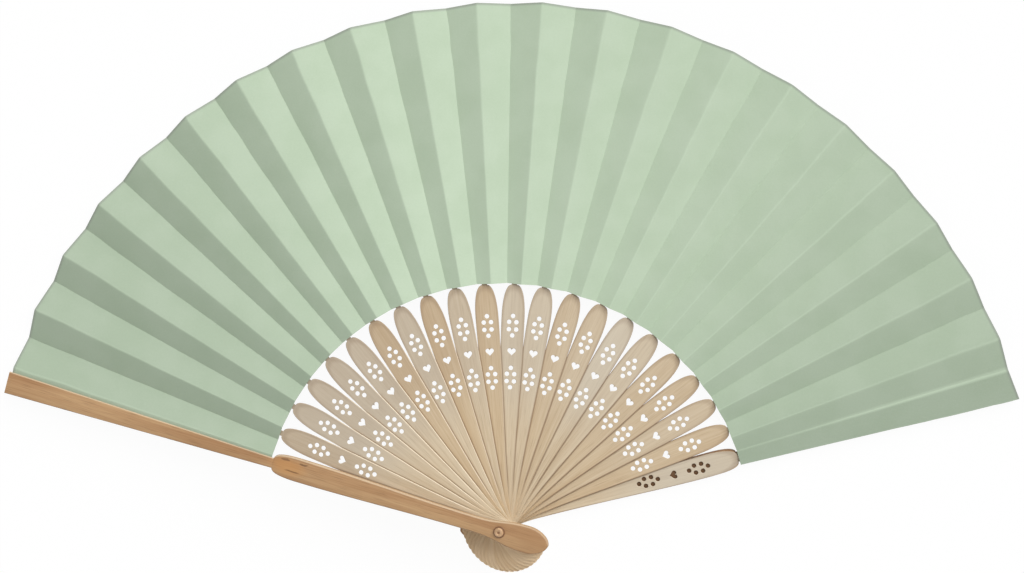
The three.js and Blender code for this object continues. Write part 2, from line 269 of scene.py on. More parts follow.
class Layout:
    """Directions, heights and places worked out from the sizes."""

    def __init__(self, scene):
        self.ribs = scene.fan_ribs
        self.leaf = scene.fan_leaf
        self.guards = scene.fan_guards
        self.rim = (self.leaf.peak_radius + self.leaf.valley_radius) / 2
        self.half_panel = self.ribs.pitch / 4
        self.leaf_rim = self.ribs.slip_rim_height + self.leaf.lift

    def rib_azimuth(self, rib):
        return self.ribs.last_azimuth + self.ribs.pitch * (self.ribs.count - rib)

    def rib_height(self, rib):
        return self.ribs.first_height + self.ribs.layer * (self.ribs.count - rib)

    def tilt(self, height, rim_height):
        return math.atan((height - rim_height) / self.rim)

    def stick_place(self, azimuth, height, rim_height):
        """A stick's frame: X runs out along it from the rivet, and its tip dips to the rim."""
        turn = Euler((0.0, self.tilt(height, rim_height), azimuth)).to_matrix().to_4x4()
        return Matrix.Translation((0.0, 0.0, height)) @ turn

    def front_place(self):
        guards = self.guards
        arm_lift = guards.front_thickness - guards.front_arm
        rim_height = guards.front_rim_height - arm_lift
        return self.stick_place(self.rib_azimuth(0), guards.front_height, rim_height)

    def rim_ease(self, azimuth):
        """The rim isn't quite a circle: it draws in past its top and runs out to the front guard."""
        leaf = self.leaf
        dip = smoothstep(azimuth, leaf.rim_dip_from, leaf.rim_dip_to)
        flare = smoothstep(azimuth, leaf.rim_flare_from, leaf.rim_flare_to)
        return leaf.rim_flare * flare - leaf.rim_dip * dip

    def fold(self, azimuth, rivet_height, rim_height, reach):
        """The two ends of a fold, which is a straight line from the rivet to the rim."""
        ends = []
        for radius in (self.leaf.inner_radius, reach + self.rim_ease(azimuth)):
            share = radius / self.rim
            height = rivet_height * (1 - share) + rim_height * share
            ends.append(Vector((radius * math.cos(azimuth), radius * math.sin(azimuth), height)))
        return ends

    def rise(self, rib):
        """Half the height of a rib's pleat at the rim."""
        shut = rib == self.ribs.count
        return (self.leaf.last_pleat_height if shut else self.leaf.pleat_height) / 2

    def rib_fold(self, rib, side, reach):
        """A fold beside a rib: the valley on side 1, the peak on side -1."""
        return self.fold(
            self.rib_azimuth(rib) + side * self.half_panel,
            self.rib_height(rib) + self.leaf.lift,
            self.leaf_rim - side * self.rise(rib),
            reach,
        )

    def valley(self, rib):
        return self.rib_fold(rib, 1, self.leaf.valley_radius)

    def peak(self, rib):
        return self.rib_fold(rib, -1, self.leaf.peak_radius)

    def front_folds(self):
        """The leaf's edge under the front arm, and the first peak beside the arm."""
        guards, leaf = self.guards, self.leaf
        azimuth = self.rib_azimuth(0)
        arm = guards.front_height + guards.front_thickness - guards.front_arm
        heights = (arm - leaf.thickness, guards.front_rim_height - leaf.thickness)
        half_arm = guards.arm_tip_width / 2 / guards.front_reach
        edge = self.fold(azimuth + FRONT_EDGE_SHARE * half_arm, *heights, leaf.valley_radius)
        return edge, self.fold(azimuth - self.half_panel, *heights, leaf.peak_radius)

    def back_folds(self):
        """The valley on the back guard, and the leaf's end beyond it."""
        heights = (self.leaf.back_height, self.leaf.back_height)
        return [
            self.fold(self.ribs.last_azimuth + aside, *heights, self.leaf.valley_radius)
            for aside in (self.half_panel, -self.half_panel)
        ]


# Node helpers

FLOAT_SOCKET = "NodeSocketFloat"
VECTOR_SOCKET = "NodeSocketVector"
COLOUR_SOCKET = "NodeSocketColor"


def opaque(shade):
    return (shade[0], shade[1], shade[2], 1.0)


class Nodes:
    """Adds nodes to one tree and links or sets their inputs."""

    def __init__(self, tree):
        self.tree = tree

    def add(self, kind, inputs=None, **settings):
        node = self.tree.nodes.new(kind)
        for name, value in settings.items():
            setattr(node, name, value)
        for key, value in (inputs or {}).items():
            self.feed(node.inputs[key], value)
        return node

    def make(self, kind, inputs=None, **settings):
        """Adds a node and gives its first output."""
        return self.add(kind, inputs, **settings).outputs[0]

    def feed(self, socket, value):
        parts = value if isinstance(value, list) else [value]
        for part in parts:
            if isinstance(part, bpy.types.NodeSocket):
                self.tree.links.new(part, socket)
            else:
                socket.default_value = part

    def math(self, operation, *values, clamp=False):
        inputs = dict(enumerate(values))
        return self.make("ShaderNodeMath", inputs, operation=operation, use_clamp=clamp)

    def chain(self, operation, values):
        total = values[0]
        for value in values[1:]:
            total = self.math(operation, total, value)
        return total

    def times(self, *values):
        return self.chain("MULTIPLY", values)

    def largest(self, *values):
        return self.chain("MAXIMUM", values)

    def plus(self, first, second):
        return self.math("ADD", first, second)

    def minus(self, first, second):
        return self.math("SUBTRACT", first, second)

    def size(self, value):
        return self.math("ABSOLUTE", value)

    def ramp(self, value, low, high, to_low=0.0, to_high=1.0, smooth=True):
        """Value between low and high, taken to the range to_low to to_high."""
        node = self.add(
            "ShaderNodeMapRange",
            {"Value": value, "From Min": low, "From Max": high, "To Min": to_low, "To Max": to_high},
            interpolation_type="SMOOTHSTEP" if smooth else "LINEAR",
        )
        return node.outputs["Result"]

    def fade(self, value, zone, share=1.0):
        """A share that runs out to nothing across a zone."""
        return self.ramp(value, *zone, share, 0.0)

    def split(self, vector):
        return self.add("ShaderNodeSeparateXYZ", {0: vector}).outputs

    def join(self, x=0.0, y=0.0, z=0.0):
        return self.make("ShaderNodeCombineXYZ", {0: x, 1: y, 2: z})

    def scaled(self, vector, share):
        return self.make("ShaderNodeVectorMath", {0: vector, "Scale": share}, operation="SCALE")

    def sum(self, *vectors):
        total = vectors[0]
        for vector in vectors[1:]:
            total = self.make("ShaderNodeVectorMath", {0: total, 1: vector}, operation="ADD")
        return total

    def noise(self, vector, scale, detail=2.0, roughness=0.5):
        inputs = {"Vector": vector, "Scale": scale, "Detail": detail, "Roughness": roughness}
        return self.make("ShaderNodeTexNoise", inputs)

    def streaks(self, vector, along, across, detail=2.0, roughness=0.5):
        """Noise drawn out along a stick, from how fine it is along and across it."""
        drawn = self.make("ShaderNodeMapping", {"Vector": vector, "Scale": (along, across, 1.0)})
        return self.noise(drawn, 1.0, detail, roughness)

    def mix(self, share, first, second):
        """The second colour laid over the first by a share."""
        node = self.add("ShaderNodeMix", {0: share}, data_type="RGBA")
        for socket, shade in ((node.inputs[6], first), (node.inputs[7], second)):
            self.feed(socket, shade if isinstance(shade, bpy.types.NodeSocket) else opaque(shade))
        return node.outputs[2]

    def attribute(self, name, output="Fac"):
        return self.add("ShaderNodeAttribute", attribute_name=name).outputs[output]

    def place(self):
        """The three parts of a point's position."""
        return self.split(self.make("GeometryNodeInputPosition"))

    def moved_to(self, geometry, position):
        return self.make("GeometryNodeSetPosition", {"Geometry": geometry, "Position": position})

    def shifted(self, geometry, x=0.0, z=0.0):
        inputs = {"Geometry": geometry, "Translation": self.join(x, 0.0, z)}
        return self.make("GeometryNodeTransform", inputs)

    def circle(self, sides, radius):
        return self.make("GeometryNodeCurvePrimitiveCircle", {"Resolution": sides, "Radius": radius})

    def store(self, geometry, name, value, kind="FLOAT", domain="POINT"):
        inputs = {"Geometry": geometry, "Name": name, "Value": value}
        return self.make("GeometryNodeStoreNamedAttribute", inputs, data_type=kind, domain=domain)


def add_sockets(tree, inputs, outputs):
    for direction, sockets in (("INPUT", inputs), ("OUTPUT", outputs)):
        for name, kind in sockets:
            tree.interface.new_socket(name, in_out=direction, socket_type=kind)


def geometry_tree(name, sizes):
    """A Geometry Nodes tree with named inputs for its sizes, its number and its material."""
    tree = bpy.data.node_groups.new(name, "GeometryNodeTree")
    tree.is_modifier = True
    shape = ("Geometry", "NodeSocketGeometry")
    extra = [("Number", "NodeSocketInt"), ("Material", "NodeSocketMaterial")]
    add_sockets(tree, [shape, *sizes, *extra], [shape])
    nodes = Nodes(tree)
    return tree, nodes, nodes.add("NodeGroupInput").outputs


def close_tree(nodes, entry, geometry):
    """Every tree ends with its instances made real and its material set."""
    real = nodes.make("GeometryNodeRealizeInstances", {0: geometry})
    inputs = {"Geometry": real, "Material": entry["Material"]}
    nodes.add("NodeGroupOutput", {0: nodes.make("GeometryNodeSetMaterial", inputs)})


def place_object(context, name, data):
    piece = bpy.data.objects.new(name, data)
    context.collection.objects.link(piece)
    return piece


def grow(context, name, base, tree, values, finishing):
    """Runs a tree on a base mesh and keeps the result as a plain mesh piece."""
    maker = place_object(context, name + "_maker", base)
    modifier = maker.modifiers.new("Shape", "NODES")
    modifier.node_group = tree
    for item in tree.interface.items_tree:
        if item.item_type == "SOCKET" and item.in_out == "INPUT" and item.name in values:
            modifier[item.identifier] = values[item.name]
    finishing(maker)
    depsgraph = context.evaluated_depsgraph_get()
    mesh = bpy.data.meshes.new_from_object(
        maker.evaluated_get(depsgraph), preserve_all_data_layers=True, depsgraph=depsgraph
    )
    maker.modifiers.clear()
    bpy.data.objects.remove(maker)
    if len(mesh.polygons) == 0:
        raise RuntimeError(f"{name} came out empty")
    mesh.name = name
    return place_object(context, name, mesh)


def fit(piece, body, node):
    """Puts a finished piece on its body, in its node's stead."""
    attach(piece, body)
    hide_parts(node)


# Shapes of the sticks

# How blunt a head is, as shares of its length and half width
RIB_BLUNTNESS = (0.65, 0.68)
GUARD_BLUNTNESS = (0.78, 0.74)
RIB_CURVE_STEPS = 12
GUARD_CURVE_STEPS = 14


def bezier(first, second, third, fourth, steps):
    points = []
    for step in range(1, steps + 1):
        t = step / steps
        u = 1 - t
        points.append(first * u**3 + second * 3 * u * u * t + third * 3 * u * t * t + fourth * t**3)
    return points


def stick_side(stick, bluntness, steps):
    """One side of a stick from its tail, past its waist, to the end of its head."""
    swell, narrow, broad = stick.tail_width / 2, stick.waist_width / 2, stick.head_width / 2
    tail_at = -stick.tail_swell_at
    tail_round = (stick.tail_reach - stick.tail_swell_at) / 2
    tail_run = (stick.tail_swell_at + stick.waist_at) / 2
    blade_run = (stick.head_at - stick.waist_at) / 3
    head_round = (stick.head_reach - stick.head_at) * bluntness[0]
    corners = (
        (-stick.tail_reach, 0.0),
        (-stick.tail_reach, swell / 2),
        (tail_at - tail_round, swell),
        (tail_at, swell),
        (tail_at + tail_run, swell),
        (stick.waist_at - tail_run, narrow),
        (stick.waist_at, narrow),
        (stick.waist_at + blade_run, narrow),
        (stick.head_at - blade_run, broad),
        (stick.head_at, broad),
        (stick.head_at + head_round, broad),
        (stick.head_reach, broad * bluntness[1]),
        (stick.head_reach, stick.neck_width / 2),
    )
    corners = [Vector(corner) for corner in corners]
    points = corners[:1]
    for start in range(0, len(corners) - 1, 3):
        points += bezier(*corners[start:start + 4], steps)
    return points


def rib_outline(ribs):
    """The closed outline of a rib's blade, as a loop of edges."""
    half = stick_side(ribs, RIB_BLUNTNESS, RIB_CURVE_STEPS)
    points = half + [Vector((p.x, -p.y)) for p in reversed(half) if p.y > 0]
    count = len(points)
    edges = [(i, (i + 1) % count) for i in range(count)]
    mesh = bpy.data.meshes.new("rib_outline")
    mesh.from_pydata([(p.x, p.y, 0.0) for p in points], edges, [])
    return mesh


# Sizes of a rib that its tree takes under the same names, and its place in the fan
RIB_SIZES = (
    "thickness",
    "bore",
    "petal_radius",
    "petal_end",
    "petal_side",
    "petal_spread",
    "inner_flower",
    "outer_flower",
    "heart_at",
    "heart_size",
    "slip_start",
    "head_reach",
    "slip_reach",
    "slip_width",
    "slip_thickness",
)
RIB_PLACES = ("Slip Lift", "Slip Twist", "Height", "Tilt", "Azimuth")

PETAL_SIDES = 16
BORE_SIDES = 20
HEART_POINTS = 28
# Cosines that draw a heart, as times round and weight, and their whole height
HEART_WAVES = ((1, 13), (2, -5), (3, -2), (4, -1))
HEART_HEIGHT = 32
SLIP_VERTICES = {"Vertices X": 27, "Vertices Y": 3, "Vertices Z": 2}
SLIP_TURN_RUN = 9 * MM
MERGE_DISTANCE = 0.001 * MM

# Where along a blade its side walls brown and clear again, and how far out they lie at least; the browning
# is a burnt cut, deepened into painted shade on the back ribs
WALL_STARTS = span(12, 26)
WALL_ENDS = span(76, 84)
WALL_ASIDE = 2.4 * MM
# Ribs across which the edges turn from a painted highlight, where they face the light, to painted shade,
# where they face away from it
BACK_SIDE_FROM = 4.0
BACK_SIDE_TO = 16.0
# Shift of the grain from one rib to the next, along and across
GRAIN_SHIFT = (0.31, 0.053)
TONE_SEED = 679


def label(size):
    return size.replace("_", " ").title()


def flower_curve(nodes, entry):
    """Six round holes: one at each end, and two pairs between them."""
    petal = nodes.circle(PETAL_SIDES, entry["Petal Radius"])
    ring = nodes.make("GeometryNodeMeshCircle", {"Vertices": 6, "Radius": 1.0})
    x, y, _ = nodes.place()
    end, side = entry["Petal End"], entry["Petal Side"]
    flat = nodes.minus(nodes.times(side, 4.0), end)
    steep = nodes.times(nodes.minus(end, nodes.times(side, 2.0)), 2.0)
    reach = nodes.math("MULTIPLY_ADD", nodes.size(x), steep, flat)
    spread = nodes.math("DIVIDE", entry["Petal Spread"], math.sin(math.radians(60)))
    ring = nodes.moved_to(ring, nodes.join(nodes.times(x, reach), nodes.times(y, spread)))
    return nodes.make("GeometryNodeInstanceOnPoints", {"Points": ring, "Instance": petal})


def heart_curve(nodes, entry):
    """A heart whose tip looks towards the rivet."""
    loop = nodes.circle(HEART_POINTS, 1.0)
    share = nodes.add("GeometryNodeSplineParameter").outputs["Factor"]
    turn = nodes.times(share, 2 * math.pi)
    across = nodes.times(nodes.math("POWER", nodes.math("SINE", turn), 3.0), 0.5)
    along = 0.0
    for times, weight in HEART_WAVES:
        wave = nodes.math("COSINE", nodes.times(turn, float(times)))
        along = nodes.math("MULTIPLY_ADD", wave, weight / HEART_HEIGHT, along)
    size = entry["Heart Size"]
    along = nodes.math("MULTIPLY_ADD", along, size, entry["Heart At"])
    return nodes.moved_to(loop, nodes.join(along, nodes.times(across, size)))


def slip_strip(nodes, entry):
    """The thin slip, which leaves the head flat and turns to lie along its paper panel."""
    start, head = entry["Slip Start"], entry["Head Reach"]
    run = nodes.minus(entry["Slip Reach"], start)
    size = nodes.join(run, entry["Slip Width"], entry["Slip Thickness"])
    strip = nodes.make("GeometryNodeMeshCube", {"Size": size, **SLIP_VERTICES})
    strip = nodes.shifted(strip, x=nodes.math("MULTIPLY_ADD", run, 0.5, start))
    x, y, z = nodes.place()
    share = nodes.ramp(x, head, nodes.plus(head, SLIP_TURN_RUN))
    turn = nodes.times(share, entry["Slip Twist"])
    sine, cosine = nodes.math("SINE", turn), nodes.math("COSINE", turn)
    across = nodes.minus(nodes.times(y, cosine), nodes.times(z, sine))
    up = nodes.plus(nodes.times(y, sine), nodes.times(z, cosine))
    up = nodes.math("MULTIPLY_ADD", share, entry["Slip Lift"], up)
    return nodes.moved_to(strip, nodes.join(x, across, up))


def pierced_blade(nodes, entry):
    """A plate filled from its outline and holes."""
    flower = flower_curve(nodes, entry)
    loops = [
        nodes.make("GeometryNodeMeshToCurve", {0: entry["Geometry"]}),
        nodes.shifted(flower, x=entry["Inner Flower"]),
        nodes.shifted(flower, x=entry["Outer Flower"]),
        heart_curve(nodes, entry),
        nodes.circle(BORE_SIDES, entry["Bore"]),
    ]
    joined = nodes.make("GeometryNodeJoinGeometry", {0: loops})
    joined = nodes.make("GeometryNodeRealizeInstances", {0: joined})
    face = nodes.make("GeometryNodeFillCurve", {0: joined}, mode="NGONS")
    thickness = entry["Thickness"]
    inputs = {"Mesh": face, "Offset Scale": thickness, "Individual": False}
    body = nodes.make("GeometryNodeExtrudeMesh", inputs, mode="FACES")
    under = nodes.make("GeometryNodeFlipFaces", {0: face})
    blade = nodes.make("GeometryNodeJoinGeometry", {0: [body, under]})
    inputs = {"Geometry": blade, "Distance": MERGE_DISTANCE}
    blade = nodes.make("GeometryNodeMergeByDistance", inputs)
    return nodes.shifted(blade, z=nodes.times(thickness, -0.5))


def rib_tree():
    """A pierced blade with its slip, marked for its material and set in its place."""
    sizes = [label(size) for size in RIB_SIZES]
    inputs = [(name, FLOAT_SOCKET) for name in (*sizes, *RIB_PLACES)]
    tree, nodes, entry = geometry_tree("pierced_rib", inputs)
    number = entry["Number"]
    blade = pierced_blade(nodes, entry)
    x, y, _ = nodes.place()
    normal = nodes.split(nodes.make("GeometryNodeInputNormal"))
    # How far a rib lies towards the fan's back side, which gets painted shade rather than a painted
    # highlight
    browned = nodes.ramp(number, BACK_SIDE_FROM, BACK_SIDE_TO)
    # Side walls darkened: a burnt cut, deepened into painted shade on the back ribs, whose walls face away
    # from the light
    wall = nodes.times(
        nodes.math("LESS_THAN", nodes.size(normal[2]), 0.5),
        nodes.ramp(x, *WALL_STARTS, 0.1, 1.0),
        nodes.fade(x, WALL_ENDS),
        nodes.math("GREATER_THAN", nodes.size(y), WALL_ASIDE),
        browned,
    )
    upper = nodes.math("GREATER_THAN", normal[2], 0.5)
    blade = nodes.store(blade, "cut_edge", wall, domain="FACE")
    blade = nodes.store(blade, "upper", upper, domain="FACE")
    rib = nodes.make("GeometryNodeJoinGeometry", {0: [blade, slip_strip(nodes, entry)]})
    rib = nodes.store(rib, "blade", nodes.join(x, y), "FLOAT_VECTOR")
    rib = nodes.store(rib, "browned", browned)

    grain = nodes.join(
        nodes.math("MULTIPLY_ADD", number, GRAIN_SHIFT[0], x),
        nodes.math("MULTIPLY_ADD", number, GRAIN_SHIFT[1], y),
    )
    rib = nodes.store(rib, "UVMap", grain, "FLOAT2", "CORNER")
    inputs = {"ID": number, "Seed": TONE_SEED}
    tone = nodes.add("FunctionNodeRandomValue", inputs, data_type="FLOAT").outputs[1]
    rib = nodes.store(rib, "tone", tone)
    inputs = {
        "Geometry": rib,
        "Translation": nodes.join(0.0, 0.0, entry["Height"]),
        "Rotation": nodes.join(0.0, entry["Tilt"], entry["Azimuth"]),
    }
    close_tree(nodes, entry, nodes.make("GeometryNodeTransform", inputs))
    return tree


FOLD_NAMES = ("First", "Peak", "Last")
LEAF_SIZES = ("Softness", "Wave", "Tuck", "Wobble")
LEAF_VERTICES = {"Vertices X": 29, "Vertices Y": 34}
# How much the columns of a pleat crowd towards its middle fold
FOLD_CROWDING = 0.75
WOBBLE_SCALE = 70.0
WOBBLE_GAIN = 3.0
WOBBLE_ZONE = (0.25, 1.0)
BULGE_SCALE = 26.0
BULGE_DRIFT = 0.7


def leaf_tree():
    """Two paper panels between three folds, with a rounded fold and a slight bulge."""
    inputs = [(f"{name} {end}", VECTOR_SOCKET) for name in FOLD_NAMES for end in ("Inner", "Outer")]
    inputs += [(name, FLOAT_SOCKET) for name in LEAF_SIZES]
    tree, nodes, entry = geometry_tree("paper_pleat", inputs)
    sheet = nodes.make("GeometryNodeMeshGrid", {"Size X": 2.0, "Size Y": 1.0, **LEAF_VERTICES})
    t, out, _ = nodes.place()
    crowd = nodes.math("MULTIPLY_ADD", nodes.times(t, t), FOLD_CROWDING, 1 - FOLD_CROWDING)
    sheet = nodes.store(sheet, "across", nodes.times(t, crowd))
    sheet = nodes.store(sheet, "outward", nodes.plus(out, 0.5))

    across = nodes.make("GeometryNodeInputNamedAttribute", {"Name": "across"})
    out = nodes.make("GeometryNodeInputNamedAttribute", {"Name": "outward"})
    soft = nodes.times(entry["Softness"], entry["Softness"])
    root = nodes.math("SQRT", nodes.plus(nodes.times(across, across), soft))
    first = nodes.times(nodes.minus(root, across), 0.5)
    last = nodes.times(nodes.plus(root, across), 0.5)
    peak = nodes.minus(nodes.minus(1.0, first), last)
    back = nodes.minus(1.0, out)
    parts = []
    for name, share in zip(FOLD_NAMES, (first, peak, last)):
        parts.append(nodes.scaled(entry[f"{name} Inner"], nodes.times(share, back)))
        parts.append(nodes.scaled(entry[f"{name} Outer"], nodes.times(share, out)))
    place = nodes.sum(*parts)
    x, y, _ = nodes.split(place)
    stray = nodes.minus(nodes.noise(nodes.join(x, y), WOBBLE_SCALE, 1.0), 0.5)
    stray = nodes.times(stray, WOBBLE_GAIN, entry["Wobble"], nodes.ramp(out, *WOBBLE_ZONE))
    turn = nodes.math("ARCTAN2", y, x)
    sideways = nodes.join(nodes.times(nodes.math("SINE", turn), -1.0), nodes.math("COSINE", turn))
    place = nodes.sum(place, nodes.scaled(sideways, stray))

    aside = nodes.size(across)
    window = nodes.times(aside, nodes.minus(1.0, aside), 4.0)
    drift = nodes.join(nodes.times(entry["Number"], BULGE_DRIFT))
    bulge = nodes.minus(nodes.noise(nodes.sum(place, drift), BULGE_SCALE, 1.0), 0.5)
    bulge = nodes.times(bulge, 2.0, window, entry["Wave"])
    tuck = nodes.times(last, nodes.minus(1.0, last), -4.0, entry["Tuck"])
    place = nodes.sum(place, nodes.join(0.0, 0.0, nodes.plus(bulge, tuck)))
    sheet = nodes.moved_to(sheet, place)

    x, y, _ = nodes.place()
    sheet = nodes.store(sheet, "UVMap", nodes.join(x, y), "FLOAT2", "CORNER")
    sheet = nodes.store(sheet, "follow", nodes.math("ADD", last, 0.0, clamp=True))
    close_tree(nodes, entry, nodes.make("GeometryNodeSetShadeSmooth", {0: sheet}))
    return tree


# Materials

def shader_group(name, inputs, outputs):
    group = bpy.data.node_groups.new(name, "ShaderNodeTree")
    add_sockets(group, inputs, outputs)
    nodes = Nodes(group)
    return group, nodes, nodes.add("NodeGroupInput").outputs


# How much the streaks and a stick's own tone deepen the bamboo, and over which range
STREAK_WEIGHT = 0.6
TONE_WEIGHT = 0.08
DEPTH_RANGE = (0.05, 0.55)
# Noise between which dark fibres come in, and how far they sink
FIBRE_RANGE = (0.58, 0.74)
FIBRE_SINK = 0.6


def bamboo_grain_group():
    """Long streaks, broad patches and short dark fibres along the stick."""
    name = "bamboo_grain"
    if name in bpy.data.node_groups:
        return bpy.data.node_groups[name]
    inputs = [("Vector", VECTOR_SOCKET)]
    inputs += [(shade, COLOUR_SOCKET) for shade in ("Pale", "Deep", "Fibre")]
    inputs += [(share, FLOAT_SOCKET) for share in ("Tone", "Patch Share", "Fibre Share")]
    outputs = [("Color", COLOUR_SOCKET), ("Height", FLOAT_SOCKET), ("Roughness", FLOAT_SOCKET)]
    group, nodes, entry = shader_group(name, inputs, outputs)
    vector = entry["Vector"]
    streak = nodes.streaks(vector, along=30.0, across=1500.0, detail=4.0, roughness=0.65)
    patch = nodes.streaks(vector, along=14.0, across=170.0)
    fibre = nodes.streaks(vector, along=120.0, across=4200.0, detail=1.0)
    depth = nodes.times(nodes.minus(patch, 0.5), entry["Patch Share"])
    depth = nodes.math("MULTIPLY_ADD", streak, STREAK_WEIGHT, depth)
    own = nodes.minus(entry["Tone"], 0.5)
    depth = nodes.math("MULTIPLY_ADD", own, TONE_WEIGHT, depth)
    base = nodes.mix(nodes.ramp(depth, *DEPTH_RANGE), entry["Pale"], entry["Deep"])
    dark = nodes.times(nodes.ramp(fibre, *FIBRE_RANGE), entry["Fibre Share"])
    results = {
        "Color": nodes.mix(dark, base, entry["Fibre"]),
        "Height": nodes.minus(streak, nodes.times(dark, FIBRE_SINK)),
        "Roughness": nodes.ramp(streak, 0.3, 0.7, to_low=0.5, to_high=0.68),
    }
    nodes.add("NodeGroupOutput", results)
    return group


def fine_mottle_group():
    """Cloudy variation with a fine tooth, for paper and tarnished metal."""
    name = "fine_mottle"
    if name in bpy.data.node_groups:
        return bpy.data.node_groups[name]
    inputs = [("Vector", VECTOR_SOCKET), ("Cloud Scale", FLOAT_SOCKET), ("Tooth Scale", FLOAT_SOCKET)]
    group, nodes, entry = shader_group(
        name, inputs, [("Cloud", FLOAT_SOCKET), ("Tooth", FLOAT_SOCKET)]
    )
    vector = entry["Vector"]
    cloud = nodes.noise(vector, entry["Cloud Scale"], detail=3.0, roughness=0.55)
    tooth = nodes.noise(vector, entry["Tooth Scale"], detail=3.0, roughness=0.7)
    results = {"Cloud": nodes.ramp(cloud, 0.35, 0.65), "Tooth": nodes.ramp(tooth, 0.25, 0.75)}
    nodes.add("NodeGroupOutput", results)
    return group


def blank_nodes(owner):
    """A material's or world's own tree, emptied."""
    owner.use_nodes = True
    owner.node_tree.nodes.clear()
    return Nodes(owner.node_tree)


def new_material(name):
    material = bpy.data.materials.new(name)
    nodes = blank_nodes(material)
    surface = nodes.add("ShaderNodeBsdfPrincipled")
    nodes.add("ShaderNodeOutputMaterial", {"Surface": surface.outputs[0]})
    return material, nodes, surface


def dress(nodes, surface, shade, roughness, height, strength, depth):
    """Feeds a surface its colour, its roughness and a bump of a depth in millimetres."""
    inputs = {"Strength": strength, "Distance": depth * MM, "Height": height}
    bump = nodes.make("ShaderNodeBump", inputs)
    for name, value in (("Base Color", shade), ("Roughness", roughness), ("Normal", bump)):
        nodes.feed(surface.inputs[name], value)


def grain_node(nodes, colours, stick, fibre_share, patch_share, tone):
    """Bamboo grain in the colours of a kind of stick, with the UV vector that it runs along."""
    vector = nodes.make("ShaderNodeUVMap", uv_map="UVMap")
    inputs = {"Vector": vector, "Tone": tone, "Fibre Share": fibre_share, "Patch Share": patch_share}
    for part in ("pale", "deep", "fibre"):
        inputs[part.title()] = opaque(getattr(colours, f"{stick}_{part}"))
    grain = nodes.add("ShaderNodeGroup", inputs, node_tree=bamboo_grain_group())
    return grain.outputs, vector


def mottle_node(nodes, vector, cloud_scale, tooth_scale):
    inputs = {"Vector": vector, "Cloud Scale": cloud_scale, "Tooth Scale": tooth_scale}
    return nodes.add("ShaderNodeGroup", inputs, node_tree=fine_mottle_group()).outputs


# Zones along a rib, from the rivet
# Where the painted light on the tail, which lifts the front guard's shade, runs out
TAIL_PAINTED_LIGHT = span(-8, 2)
BARE_EDGE = span(8, 20)
GREYED = span(30, 64)
# Where the painted shade on the front ribs' heads comes in
FRONT_SHADE_ZONE = span(40, 66)
HEAD = span(62, 78)
# Where the painted highlight and the painted edge shade end
HIGHLIGHT_END = span(70, 80)
EDGE_SHADE_END = span(74, 82)
# Widths of the marks along a rib's edges: painted highlight, painted shade, head outline and the painted
# shadow where the rib above overlaps
HIGHLIGHT_WIDTH = span(0.1, 0.4)
EDGE_SHADE_WIDTH = span(0.1, 0.45)
HEAD_WIDTH = span(0.2, 1.1)
OVERLAP_SHADOW_WIDTH = span(0.2, 0.6)
# How strongly the side walls darken, as a burnt cut and as painted shade on the back ribs
WALL_SHARE = 0.7
# Power of the oval that stands in for a head's outline
HEAD_POWER = 2.4


def rib_inset(nodes, ribs, along, across, half):
    """How far a place on a rib lies inside its outline, nearly."""
    past = nodes.ramp(along, ribs.head_at, ribs.head_reach, smooth=False)
    aside = nodes.math("DIVIDE", nodes.size(across), half)
    powers = [nodes.math("POWER", share, HEAD_POWER) for share in (past, aside)]
    share = nodes.math("POWER", nodes.plus(*powers), 1 / HEAD_POWER)
    return nodes.times(nodes.minus(1.0, share), half)


